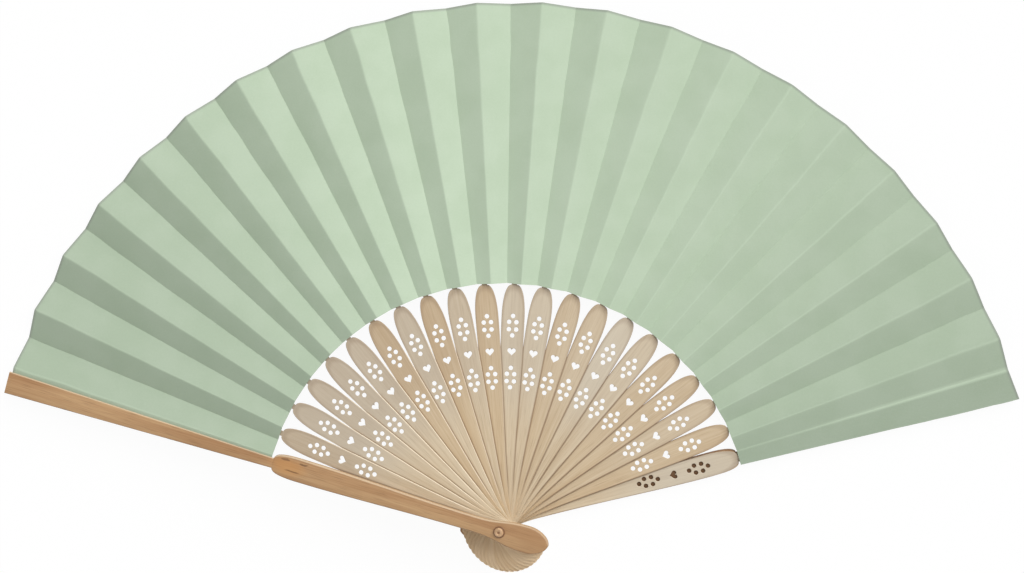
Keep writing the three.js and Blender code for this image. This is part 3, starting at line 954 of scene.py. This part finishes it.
def rib_material(colours, ribs):
    """Pale bamboo, greyed towards the head, with painted light on the tail, painted shade on the front
    heads, a painted highlight on the front edges, painted shade on the back edges, burnt walls deepened with
    painted shade, dark head outlines, and a painted shadow where the rib above overlaps.
    """
    material, nodes, surface = new_material("rib_bamboo")
    tone = nodes.attribute("tone")
    grain, _ = grain_node(nodes, colours, "rib", fibre_share=0.3, patch_share=0.45, tone=tone)
    along, across, _ = nodes.split(nodes.attribute("blade", "Vector"))
    # Share of the fan's back side: its ribs get painted shade along their edges, the front ribs a painted
    # highlight and painted shade at their heads
    back = nodes.attribute("browned")
    front = nodes.minus(1.0, back)
    weathering = nodes.ramp(tone, 0.0, 1.0, to_low=0.55, to_high=0.15)
    greyed = nodes.times(nodes.ramp(along, *GREYED), weathering)
    half = nodes.ramp(along, ribs.waist_at, ribs.head_at, ribs.waist_width / 2, ribs.head_width / 2)
    inset = rib_inset(nodes, ribs, along, across, half)
    bare = nodes.ramp(along, *BARE_EDGE)
    # Painted highlight along the front ribs' edges, which face the light
    rubbed = nodes.times(
        nodes.fade(inset, HIGHLIGHT_WIDTH, share=0.7),
        bare,
        front,
        nodes.ramp(along, *HIGHLIGHT_END, to_low=1.0, to_high=0.15),
    )
    # Painted shade along the back ribs' edges, which face away from the light
    edge_shade = nodes.times(
        nodes.fade(inset, EDGE_SHADE_WIDTH, share=0.6), bare, back, nodes.fade(along, EDGE_SHADE_END)
    )
    head = nodes.times(nodes.fade(inset, HEAD_WIDTH, share=0.28), nodes.ramp(along, *HEAD))
    # Painted shadow along the line where the rib above lies over this one
    above = nodes.math("MULTIPLY_ADD", along, math.tan(ribs.pitch), nodes.times(half, -1.0))
    beside = nodes.size(nodes.minus(above, across))
    touching = nodes.fade(beside, OVERLAP_SHADOW_WIDTH, share=0.55)
    overlap_shadow = nodes.times(touching, nodes.attribute("upper"), bare)
    wall = nodes.times(nodes.attribute("cut_edge"), WALL_SHARE)
    # Painted shade: the front ribs' heads darker, as if less light reached them
    front_head_shade = nodes.times(nodes.ramp(along, *FRONT_SHADE_ZONE, to_high=0.2), front)
    shade = grain["Color"]
    for share, tint in (
        # Painted light on the tails, in the front guard's shade
        (nodes.fade(along, TAIL_PAINTED_LIGHT, share=0.45), colours.rib_bleached),
        (greyed, colours.rib_greyed),
        (nodes.ramp(tone, 0.5, 1.0, to_high=0.2), colours.rib_warm),
        (front_head_shade, colours.rib_fibre),
        (rubbed, colours.rib_rubbed),
        (nodes.largest(wall, edge_shade, head, overlap_shadow), colours.rib_fibre),
    ):
        shade = nodes.mix(share, shade, tint)
    roughness, height = grain["Roughness"], grain["Height"]
    dress(nodes, surface, shade, roughness, height, strength=0.25, depth=0.1)
    return material


# Marks of the growth node on a guard, as places and sizes along and across it in millimetres
KNOT = ((83.0, -0.2), (8.5, 4.0))
NODE_MARKS = (
    ((84.0, -2.9), (2.0, 0.6)),
    ((77.5, -2.6), (1.9, 0.5)),
    ((81.0, 1.0), (3.2, 0.4)),
)
MARK_CORE = 0.35
# How far the marks' outlines wander along the guard, and the share of it across
MARK_WOBBLE = 3 * MM
MARK_WOBBLE_ASIDE = 0.4
GUARD_TAIL = span(-14, 2)
# The back guard's face, darkened with painted shade that shows through the last rib's holes, along it and
# from its middle line
SHADED_START = span(40, 50)
SHADED_END = span(78, 86)
SHADED_ASIDE = span(2.2, 3.9)


def spot(nodes, along, across, at, size, core):
    """A soft oval mask on the guard's face, from a place and a size along and across it."""
    squares = []
    for value, middle, reach in zip((along, across), at, size):
        share = nodes.math("DIVIDE", nodes.minus(value, middle * MM), reach * MM)
        squares.append(nodes.times(share, share))
    return nodes.fade(nodes.plus(*squares), (core, 1.0))


def guard_material(colours):
    """Tan bamboo with a growth node at the shoulder, a painted highlight on the edge that faces the light,
    and painted shade on the other edge and on the back guard's face.
    """
    material, nodes, surface = new_material("guard_bamboo")
    grain, vector = grain_node(
        nodes, colours, "guard", fibre_share=0.4, patch_share=0.8, tone=0.5
    )
    run, side, _ = nodes.split(vector)
    rough = nodes.streaks(vector, along=300.0, across=900.0)
    wobble = nodes.times(nodes.minus(rough, 0.5), MARK_WOBBLE)
    along = nodes.plus(run, wobble)
    across = nodes.math("MULTIPLY_ADD", wobble, MARK_WOBBLE_ASIDE, side)
    knot = spot(nodes, along, across, *KNOT, 0.0)
    marks = [spot(nodes, along, across, *mark, MARK_CORE) for mark in NODE_MARKS]
    shaded = nodes.times(
        nodes.attribute("inner"),
        nodes.fade(nodes.size(side), SHADED_ASIDE, share=0.92),
        nodes.ramp(run, *SHADED_START),
        nodes.fade(run, SHADED_END),
    )
    shade = grain["Color"]
    for share, tint in (
        (nodes.times(knot, 0.6), colours.guard_knot),
        (nodes.times(nodes.largest(*marks), 0.6), colours.guard_fibre),
        # Painted highlight along the edge that faces the light
        (nodes.times(nodes.attribute("rubbed"), 0.55), colours.rib_pale),
        # Painted shade along the edge that faces away from the light
        (nodes.times(nodes.attribute("outer"), 0.35), colours.guard_fibre),
        (nodes.fade(run, GUARD_TAIL, share=0.45), colours.guard_deep),
        (shaded, colours.guard_shade),
    ):
        shade = nodes.mix(share, shade, tint)
    roughness, height = grain["Roughness"], grain["Height"]
    dress(nodes, surface, shade, roughness, height, strength=0.3, depth=0.12)
    return material


def degrees(low, high):
    """Two angles, given in degrees."""
    return math.radians(low), math.radians(high)


# The leaf's brightest direction, and how far from it the paper darkens as painted shade, as if the light
# fell off towards its ends
PAPER_BRIGHTEST = math.radians(80)
PAPER_END_SHADE = degrees(15, 75)
# Angles from the last fold within which the last panel gets painted shade and the fold is pale
LAST_PANEL_SHADE = degrees(-0.5, -0.1)
LAST_CREASE = degrees(0.05, 0.45)
FOLD_WIDTH = (0.0, 0.07)
FOLD_PALENESS = 1.12
# Shares of the way out to the rim between which that fold pales and the paper greys
CREASE_GROWS = (0.1, 0.6)
RIM_EDGE = (0.988, 0.998)
# How much clouds and tooth bring out the darker fibres
CLOUD_WEIGHT = 0.4
TOOTH_WEIGHT = 0.3


def paper_material(colours, ribs):
    """Sage paper with clouded fibres, painted shade towards its ends and on the shut last panel, and folds
    worn a little paler.
    """
    material, nodes, surface = new_material("leaf_paper")
    vector = nodes.make("ShaderNodeUVMap", uv_map="UVMap")
    mottle = mottle_node(nodes, vector, cloud_scale=60.0, tooth_scale=1400.0)
    weights = (("Cloud", CLOUD_WEIGHT), ("Tooth", TOOTH_WEIGHT))
    share = nodes.plus(*(nodes.times(mottle[part], weight) for part, weight in weights))
    shade = nodes.mix(share, colours.paper, colours.paper_shade)
    x, y, _ = nodes.split(vector)
    bearing = nodes.math("ARCTAN2", y, x)
    turn = nodes.size(nodes.minus(bearing, PAPER_BRIGHTEST))
    # Painted shade towards the leaf's ends
    shade = nodes.mix(nodes.ramp(turn, *PAPER_END_SHADE, to_high=0.22), shade, BLACK)
    past = nodes.minus(bearing, ribs.last_azimuth + ribs.pitch / 4)
    # Painted shade on the shut last panel
    shade = nodes.mix(nodes.fade(past, LAST_PANEL_SHADE, share=0.15), shade, BLACK)
    fold = nodes.fade(nodes.size(nodes.attribute("across")), FOLD_WIDTH, share=0.25)
    crease = nodes.fade(nodes.size(past), LAST_CREASE, share=0.45)
    outward = nodes.attribute("outward")
    crease = nodes.times(crease, nodes.ramp(outward, *CREASE_GROWS, to_low=0.1))
    pale = [min(1.0, FOLD_PALENESS * part) for part in colours.paper]
    shade = nodes.mix(nodes.largest(fold, crease), shade, pale)
    shade = nodes.mix(nodes.ramp(outward, *RIM_EDGE, to_high=0.5), shade, colours.paper_edge)
    roughness = nodes.ramp(mottle["Tooth"], 0.0, 1.0, to_low=0.78, to_high=0.92)
    surface.inputs["Specular IOR Level"].default_value = 0.25
    dress(nodes, surface, shade, roughness, mottle["Tooth"], strength=0.12, depth=0.1)
    return material


# Share of tarnish in the clouds on the metal
TARNISH = 0.3


def rivet_material(colours):
    """Dull copper-brown metal with clouded tarnish, and painted shade in its groove."""
    material, nodes, surface = new_material("rivet_metal")
    vector = nodes.add("ShaderNodeTexCoord").outputs["Object"]
    mottle = mottle_node(nodes, vector, cloud_scale=900.0, tooth_scale=5000.0)
    groove = nodes.attribute("groove")
    # The groove adds painted shade on top of the tarnish in the clouds
    share = nodes.math("MULTIPLY_ADD", mottle["Cloud"], TARNISH, groove, clamp=True)
    shade = nodes.mix(share, colours.rivet, colours.rivet_tarnish_and_shade)
    roughness = nodes.ramp(mottle["Tooth"], 0.0, 1.0, to_low=0.38, to_high=0.55)
    surface.inputs["Metallic"].default_value = 0.1
    dress(nodes, surface, shade, roughness, mottle["Tooth"], strength=0.08, depth=0.05)
    return material


# Lofts and turned shapes

# Largest rounding of a section, as shares of its half width and its height
LARGEST_ROUND = (0.9, 0.45)
CORNER_STEPS = 3
ARM_STEPS = 22
LEAST_HALF_WIDTH = 0.35 * MM
SHOULDER_STEP = 0.05 * MM
# How far the pin's rear head stands out of the back guard, so that no faces coincide
REAR_HEAD_PROUD = 0.03 * MM
# Share of the edge rounding that counts as a guard's edge
EDGE_SHARE = 0.8
FACE_TOLERANCE = 0.01 * MM
TURNED_SIDES = 48
GUARD_SHARP_ANGLE = math.radians(40)
RIVET_SHARP_ANGLE = math.radians(35)


def rounded_section(half, bottom, top, radius):
    """Points round a rectangle with rounded corners, in the stick's cross plane."""
    radius = min(radius, LARGEST_ROUND[0] * half, LARGEST_ROUND[1] * (top - bottom))
    corners = (
        (half - radius, top - radius, 0.0),
        (radius - half, top - radius, 90.0),
        (radius - half, bottom + radius, 180.0),
        (half - radius, bottom + radius, 270.0),
    )
    points = []
    for y, z, start in corners:
        for step in range(CORNER_STEPS + 1):
            turn = math.radians(start + 90.0 * step / CORNER_STEPS)
            points.append((y + radius * math.cos(turn), z + radius * math.sin(turn)))
    return points


def guard_stations(guards, thickness, arm, reach):
    """Places along a guard: distance, half width, foot and slant of each cross-section."""
    side = stick_side(guards, GUARD_BLUNTNESS, GUARD_CURVE_STEPS)
    stations = [(p.x, max(p.y, LEAST_HALF_WIDTH), 0.0, 0.0) for p in side]
    root, tip = guards.neck_width / 2, guards.arm_tip_width / 2
    slant = guards.arm_slant / 2
    for step in range(ARM_STEPS + 1):
        share = step / ARM_STEPS
        x = guards.head_reach + SHOULDER_STEP + share * (reach - slant - guards.head_reach)
        stations.append((x, root + share * (tip - root), thickness - arm, slant * share**3))
    return stations


def bridge(shape, before, after):
    """Faces between two rings of points, either of which may be a single point."""
    sides = max(len(before), len(after))
    for i in range(sides):
        j = (i + 1) % sides
        if len(before) == 1:
            shape.faces.new((before[0], after[i], after[j]))
        elif len(after) == 1:
            shape.faces.new((before[i], after[0], before[j]))
        else:
            shape.faces.new((before[i], after[i], after[j], before[j]))


def keep_shape(context, name, shape, place, material, sharp_angle):
    """Turns a finished shape into a smooth mesh piece in its place."""
    for face in shape.faces:
        face.smooth = True
    bmesh.ops.recalc_face_normals(shape, faces=shape.faces)
    shape.transform(place)
    mesh = bpy.data.meshes.new(name)
    shape.to_mesh(mesh)
    shape.free()
    mesh.materials.append(material)
    mesh.set_sharp_from_angle(angle=sharp_angle)
    return place_object(context, name, mesh)


def loft_guard(context, name, guards, thickness, arm, reach, arm_on_top, place, material):
    """A guard lofted along its length: thick blade, stepped shoulder, thin tapered arm."""
    shape = bmesh.new()
    uv = shape.loops.layers.uv.new("UVMap")
    rubbed, outer, inner = (
        shape.verts.layers.float.new(layer) for layer in ("rubbed", "outer", "inner")
    )
    edge = EDGE_SHARE * guards.edge_round
    rings = []
    spots = {}
    for x, half, step, slant in guard_stations(guards, thickness, arm, reach):
        bottom = step if arm_on_top else REAR_HEAD_PROUD
        top = thickness if arm_on_top else thickness - step
        ring = []
        for y, z in rounded_section(half, bottom, top, guards.edge_round):
            vert = shape.verts.new((x + slant * y / half, y, z))
            # The back guard's face behind the last rib, which gets painted shade
            on_face = not arm_on_top and x < guards.head_reach and z > top - FACE_TOLERANCE
            # Painted highlight along the upper half of the edge that faces the light
            vert[rubbed] = float(y < edge - half and z > (bottom + top) / 2)
            # Painted shade along the edge that faces away from the light
            vert[outer] = float(y > half - edge)
            vert[inner] = float(on_face)
            spots[vert] = (vert.co.x, vert.co.y + vert.co.z - top)
            ring.append(vert)
        rings.append(ring)
    for before, after in zip(rings, rings[1:]):
        bridge(shape, before, after)
    shape.faces.new(rings[0])
    shape.faces.new(list(reversed(rings[-1])))
    for face in shape.faces:
        for loop in face.loops:
            loop[uv].uv = spots[loop.vert]
    return keep_shape(context, name, shape, place, material, GUARD_SHARP_ANGLE)


def turned(context, name, profile, place, material, grooves):
    """A closed shape turned about the rivet's axis from points of radius and height."""
    shape = bmesh.new()
    groove = shape.verts.layers.float.new("groove")
    rings = []
    for index, (radius, height) in enumerate(profile):
        ring = []
        for side in range(TURNED_SIDES if radius > 0 else 1):
            turn = 2 * math.pi * side / TURNED_SIDES
            vert = shape.verts.new((radius * math.cos(turn), radius * math.sin(turn), height))
            vert[groove] = float(index in grooves)
            ring.append(vert)
        rings.append(ring)
    if len(rings[0]) > 1:
        rings.append(rings[0])
    for before, after in zip(rings, rings[1:]):
        bridge(shape, before, after)
    return keep_shape(context, name, shape, place, material, RIVET_SHARP_ANGLE)


# Operators

FLOOR_REACH = 6.0
FLOOR_DEPTH = -0.3 * MM
FLOOR_GLOW = 0.95
SKY_STRENGTH = 0.45
# Suns by name: strength, softness, azimuth and elevation, the last three in degrees
LAMPS = {"key": (2.8, 50.0, 50.0, 36.0), "fill": (0.65, 60.0, 238.0, 12.0)}
# The camera that the photo's holes, folds and rim were fitted with
FOCAL_PIXELS = 2776.0
PICTURE_PIXELS = 1024.0
SENSOR_WIDTH = 36.0
CLIP_RANGE = (0.01, 50.0)
CAMERA_TURN = (8.877, -7.813, 1.755)
CAMERA_PLACE = (0.1457, 0.242, 0.9994)


class FAN_OT_stage(bpy.types.Operator):
    """Sets the floor, the light and the camera."""

    bl_idname = "fan.stage"
    bl_label = "Stage"

    def execute(self, context):
        context.scene.view_settings.view_transform = "Standard"
        self.add_floor(context)
        self.add_sky(context)
        for name, settings in LAMPS.items():
            self.add_lamp(context, name, *settings)
        self.add_camera(context)
        return {"FINISHED"}

    def seen_directly(self, nodes):
        """1 for rays from the camera, from a reflection or through glass."""
        path = nodes.add("ShaderNodeLightPath").outputs
        rays = ("Is Camera Ray", "Is Glossy Ray", "Is Transmission Ray")
        return nodes.largest(*(path[ray] for ray in rays))

    def add_floor(self, context):
        material = bpy.data.materials.new("floor_white")
        nodes = blank_nodes(material)
        shade = opaque(context.scene.fan_colours.floor)
        matt = nodes.make("ShaderNodeBsdfDiffuse", {"Color": shade})
        glow = nodes.make("ShaderNodeEmission", {"Color": opaque(WHITE), "Strength": 1.0})
        share = nodes.times(self.seen_directly(nodes), FLOOR_GLOW)
        mixed = nodes.make("ShaderNodeMixShader", {0: share, 1: matt, 2: glow})
        nodes.add("ShaderNodeOutputMaterial", {"Surface": mixed})
        corners = [(-1, -1), (1, -1), (1, 1), (-1, 1)]
        points = [(FLOOR_REACH * x, FLOOR_REACH * y, FLOOR_DEPTH) for x, y in corners]
        mesh = bpy.data.meshes.new("floor")
        mesh.from_pydata(points, [], [(0, 1, 2, 3)])
        mesh.materials.append(material)
        place_object(context, "floor", mesh)

    def add_sky(self, context):
        world = bpy.data.worlds.new("soft_sky")
        context.scene.world = world
        nodes = blank_nodes(world)
        sky, backdrop = (
            nodes.make("ShaderNodeBackground", {"Color": opaque(WHITE), "Strength": strength})
            for strength in (SKY_STRENGTH, 1.0)
        )
        inputs = {0: self.seen_directly(nodes), 1: sky, 2: backdrop}
        nodes.add("ShaderNodeOutputWorld", {"Surface": nodes.make("ShaderNodeMixShader", inputs)})

    def add_lamp(self, context, name, energy, softness, azimuth, elevation):
        """A soft sun from a direction, given in degrees."""
        lamp = bpy.data.lights.new(name, "SUN")
        lamp.energy = energy
        lamp.angle = math.radians(softness)
        turn, climb = math.radians(azimuth), math.radians(elevation)
        level = math.cos(climb)
        towards = Vector((level * math.cos(turn), level * math.sin(turn), math.sin(climb)))
        sun = place_object(context, name, lamp)
        sun.rotation_euler = towards.to_track_quat("Z", "Y").to_euler()
        sun.location = towards

    def add_camera(self, context):
        data = bpy.data.cameras.new("camera")
        data.sensor_fit = "HORIZONTAL"
        data.sensor_width = SENSOR_WIDTH
        data.lens = FOCAL_PIXELS / PICTURE_PIXELS * SENSOR_WIDTH
        data.clip_start, data.clip_end = CLIP_RANGE
        turn = Vector([math.radians(part) for part in CAMERA_TURN])
        view = Matrix.Rotation(turn.length, 4, turn.normalized())
        camera = place_object(context, "camera", data)
        camera.matrix_world = Matrix.Translation(CAMERA_PLACE) @ view.transposed()
        context.scene.camera = camera


PAPER_CLEARANCE = 0.02 * MM
BEVEL_SEGMENTS = 2
BEVEL_ANGLE = math.radians(50)
# Faces with at least so many corners are cut into triangles
LARGE_FACE = 5


class FAN_OT_ribs(bpy.types.Operator):
    """Makes the pierced ribs with their slips."""

    bl_idname = "fan.ribs"
    bl_label = "Ribs"

    def execute(self, context):
        scene = context.scene
        ribs, leaf = scene.fan_ribs, scene.fan_leaf
        layout = Layout(scene)
        tree = rib_tree()
        outline = rib_outline(ribs)
        values = {label(size): getattr(ribs, size) for size in RIB_SIZES}
        values["Material"] = rib_material(scene.fan_colours, ribs)
        paper_gap = (ribs.slip_thickness + leaf.thickness) / 2 + PAPER_CLEARANCE
        panel_run = 2 * layout.rim * math.tan(layout.half_panel)
        for rib in range(1, ribs.count + 1):
            height = layout.rib_height(rib)
            slope = math.atan(2 * layout.rise(rib) / panel_run)
            values["Slip Lift"] = leaf.lift - paper_gap / math.cos(slope)
            values["Slip Twist"] = -slope
            values["Height"] = height
            values["Tilt"] = layout.tilt(height, ribs.slip_rim_height)
            values["Azimuth"] = layout.rib_azimuth(rib)
            values["Number"] = rib
            node = f"rib_{rib:02d}"
            piece = grow(context, f"pierced_{node}", outline, tree, values, self.round_edges)
            fit(piece, node, node)
        return {"FINISHED"}

    def round_edges(self, maker):
        bevel = maker.modifiers.new("Rounded edges", "BEVEL")
        bevel.width = bpy.context.scene.fan_ribs.edge_round
        bevel.segments = BEVEL_SEGMENTS
        bevel.limit_method = "ANGLE"
        bevel.angle_limit = BEVEL_ANGLE
        bevel.use_clamp_overlap = False
        cut = maker.modifiers.new("Triangles", "TRIANGULATE")
        cut.min_vertices = LARGE_FACE


LEAF_SHARP_ANGLE = math.radians(50)


class FAN_OT_leaf(bpy.types.Operator):
    """Makes the pleated leaf, one piece for each pleat."""

    bl_idname = "fan.leaf"
    bl_label = "Leaf"

    def execute(self, context):
        scene = context.scene
        layout = Layout(scene)
        count = scene.fan_ribs.count
        self.tree = leaf_tree()
        self.paper = paper_material(scene.fan_colours, scene.fan_ribs)
        self.blank = bpy.data.meshes.new("leaf_blank")
        front_edge, front_peak = layout.front_folds()
        back_valley, back_end = layout.back_folds()
        ribs = range(1, count + 1)
        sticks = ["front_guard", *(f"rib_{rib:02d}" for rib in ribs), "back_guard"]
        valleys = [front_edge, *map(layout.valley, ribs), back_valley]
        peaks = [front_peak, *map(layout.peak, ribs)]
        for number, peak in enumerate(peaks):
            folds = (valleys[number], peak, valleys[number + 1])
            tuck = scene.fan_leaf.tuck if number == count else 0.0
            piece = self.pleat(context, number, folds, scene.fan_leaf.wave, tuck)
            self.bend(piece, sticks[number], sticks[number + 1], folds)
            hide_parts(f"leaf_pleat_{number:02d}")
        middle = [(a + b) / 2 for a, b in zip(back_valley, back_end)]
        piece = self.pleat(context, count + 1, (back_valley, middle, back_end), 0.0, 0.0)
        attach(piece, "back_guard")
        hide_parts(f"leaf_pleat_{count + 1:02d}")
        return {"FINISHED"}

    def pleat(self, context, number, folds, wave, tuck):
        leaf = context.scene.fan_leaf
        values = {
            "Softness": leaf.softness,
            "Wave": wave,
            "Tuck": tuck,
            "Wobble": leaf.fold_wobble,
            "Number": number,
            "Material": self.paper,
        }
        for name, (inner, outer) in zip(FOLD_NAMES, folds):
            values[f"{name} Inner"] = inner[:]
            values[f"{name} Outer"] = outer[:]
        name = f"paper_pleat_{number:02d}"
        piece = grow(context, name, self.blank, self.tree, values, self.thicken)
        piece.data.set_sharp_from_angle(angle=LEAF_SHARP_ANGLE)
        return piece

    def thicken(self, maker):
        solid = maker.modifiers.new("Paper", "SOLIDIFY")
        solid.thickness = bpy.context.scene.fan_leaf.thickness
        solid.offset = 0.0

    def bend(self, piece, near, far, folds):
        """The panel on the near stick stays with it, and the next one turns to the far stick."""
        start, end = folds[1][1], folds[2][1]
        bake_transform(piece, near, far, start=start[:], end=end[:])
        mesh = piece.data
        follow = [0.0] * len(mesh.vertices)
        mesh.attributes["follow"].data.foreach_get("value", follow)
        mesh.attributes["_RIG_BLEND"].data.foreach_set("value", follow)


class FAN_OT_guards(bpy.types.Operator):
    """Makes the front and the back guard."""

    bl_idname = "fan.guards"
    bl_label = "Guards"

    def execute(self, context):
        scene = context.scene
        guards = scene.fan_guards
        layout = Layout(scene)
        bamboo = guard_material(scene.fan_colours)
        places = {
            "front": layout.front_place(),
            "back": layout.stick_place(layout.ribs.last_azimuth, 0.0, 0.0),
        }
        for end, place in places.items():
            sizes = [getattr(guards, f"{end}_{size}") for size in ("thickness", "arm", "reach")]
            piece = loft_guard(
                context, f"guard_{end}", guards, *sizes, end == "front", place, bamboo
            )
            fit(piece, f"{end}_guard", f"{end}_guard")
        return {"FINISHED"}


RIVET_CLEARANCE = 0.02 * MM
# Chamfers of the rear head's rim, of the washer below and above, of the shank and elsewhere
FOOT_CHAMFER = span(0.25, 0.2)
WASHER_CHAMFERS = span(0.05, 0.12)
SHANK_CHAMFER = 0.15 * MM
SMALL_CHAMFER = 0.1 * MM
# The cap's domed side and sunk middle, as shares of its radius and height or depths below its top
CAP_DOME = ((1.0, 0.35), (0.93, 0.7), (0.78, 0.93), (0.6, 1.0))
CAP_HOLLOW = ((0.48, 0.03), (0.36, 0.2), (0.2, 0.24), (0.0, 0.24))
# Points of the washer's and the cap's profiles that get painted shade
WASHER_GROOVES = range(6)
CAP_GROOVES = (1, 2, 9, 10)


class FAN_OT_rivet(bpy.types.Operator):
    """Makes the rivet's pin, washer and cap."""

    bl_idname = "fan.rivet"
    bl_label = "Rivet"

    def execute(self, context):
        scene = context.scene
        rivet = scene.fan_rivet
        layout = Layout(scene)
        metal = rivet_material(scene.fan_colours)
        top = layout.front_place()
        seat = scene.fan_guards.front_thickness + RIVET_CLEARANCE
        rim = seat + rivet.washer_thickness
        washer = self.washer(rivet, layout.ribs.bore, seat, rim)
        cap = self.cap(rivet, rim + RIVET_CLEARANCE)
        for name, node, body, profile, place, grooves in (
            ("rivet_shank", "rivet_pin", "back_guard", self.pin(rivet), Matrix.Identity(4), ()),
            ("rivet_ring", "rivet_washer", "front_guard", washer, top, WASHER_GROOVES),
            ("rivet_button", "rivet_cap", "front_guard", cap, top, CAP_GROOVES),
        ):
            piece = turned(context, name, profile, place, metal, grooves)
            fit(piece, body, node)
        return {"FINISHED"}

    def pin(self, rivet):
        foot, shank, step = rivet.foot_radius, rivet.shank_radius, rivet.foot_thickness
        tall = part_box("rivet_pin")[1][2]
        return [
            (0.0, 0.0),
            (foot - FOOT_CHAMFER[0], 0.0),
            (foot, FOOT_CHAMFER[1]),
            (foot, step - SMALL_CHAMFER),
            (foot - SMALL_CHAMFER, step),
            (shank, step),
            (shank, tall - SHANK_CHAMFER),
            (shank - SHANK_CHAMFER, tall),
            (0.0, tall),
        ]

    def washer(self, rivet, bore, seat, rim):
        radius = rivet.washer_radius
        below, above = WASHER_CHAMFERS
        return [
            (bore, seat),
            (radius - below, seat),
            (radius, seat + below),
            (radius, rim - above),
            (radius - above, rim),
            (bore, rim),
        ]

    def cap(self, rivet, low):
        radius, tall = rivet.cap_radius, rivet.cap_height
        profile = [(0.0, low), (radius - SMALL_CHAMFER, low), (radius, low + SMALL_CHAMFER)]
        profile += [(share * radius, low + height * tall) for share, height in CAP_DOME]
        profile += [(share * radius, low + tall - depth * MM) for share, depth in CAP_HOLLOW]
        return profile


class FAN_PT_panel(bpy.types.Panel):
    """Lists the fan's pieces in the sidebar."""

    bl_idname = "FAN_PT_panel"
    bl_label = "Folding fan"
    bl_space_type = "VIEW_3D"
    bl_region_type = "UI"
    bl_category = "Fan"

    def draw(self, context):
        column = self.layout.column()
        for operator in OPERATORS:
            column.operator(operator.bl_idname)


OPERATORS = (FAN_OT_stage, FAN_OT_ribs, FAN_OT_leaf, FAN_OT_guards, FAN_OT_rivet)
GROUPS = {
    "fan_ribs": RibSizes,
    "fan_leaf": LeafSizes,
    "fan_guards": GuardSizes,
    "fan_rivet": RivetSizes,
    "fan_colours": FanColours,
}


def register():
    for group in GROUPS.values():
        bpy.utils.register_class(group)
    for name, group in GROUPS.items():
        setattr(bpy.types.Scene, name, PointerProperty(type=group))
    for operator in OPERATORS:
        bpy.utils.register_class(operator)
    bpy.utils.register_class(FAN_PT_panel)


def unregister():
    bpy.utils.unregister_class(FAN_PT_panel)
    for operator in reversed(OPERATORS):
        bpy.utils.unregister_class(operator)
    for name in GROUPS:
        delattr(bpy.types.Scene, name)
    for group in reversed(GROUPS.values()):
        bpy.utils.unregister_class(group)


def main():
    register()
    bpy.ops.fan.stage()
    bpy.ops.fan.ribs()
    bpy.ops.fan.leaf()
    bpy.ops.fan.guards()
    bpy.ops.fan.rivet()


if __name__ == "__main__":
    main()
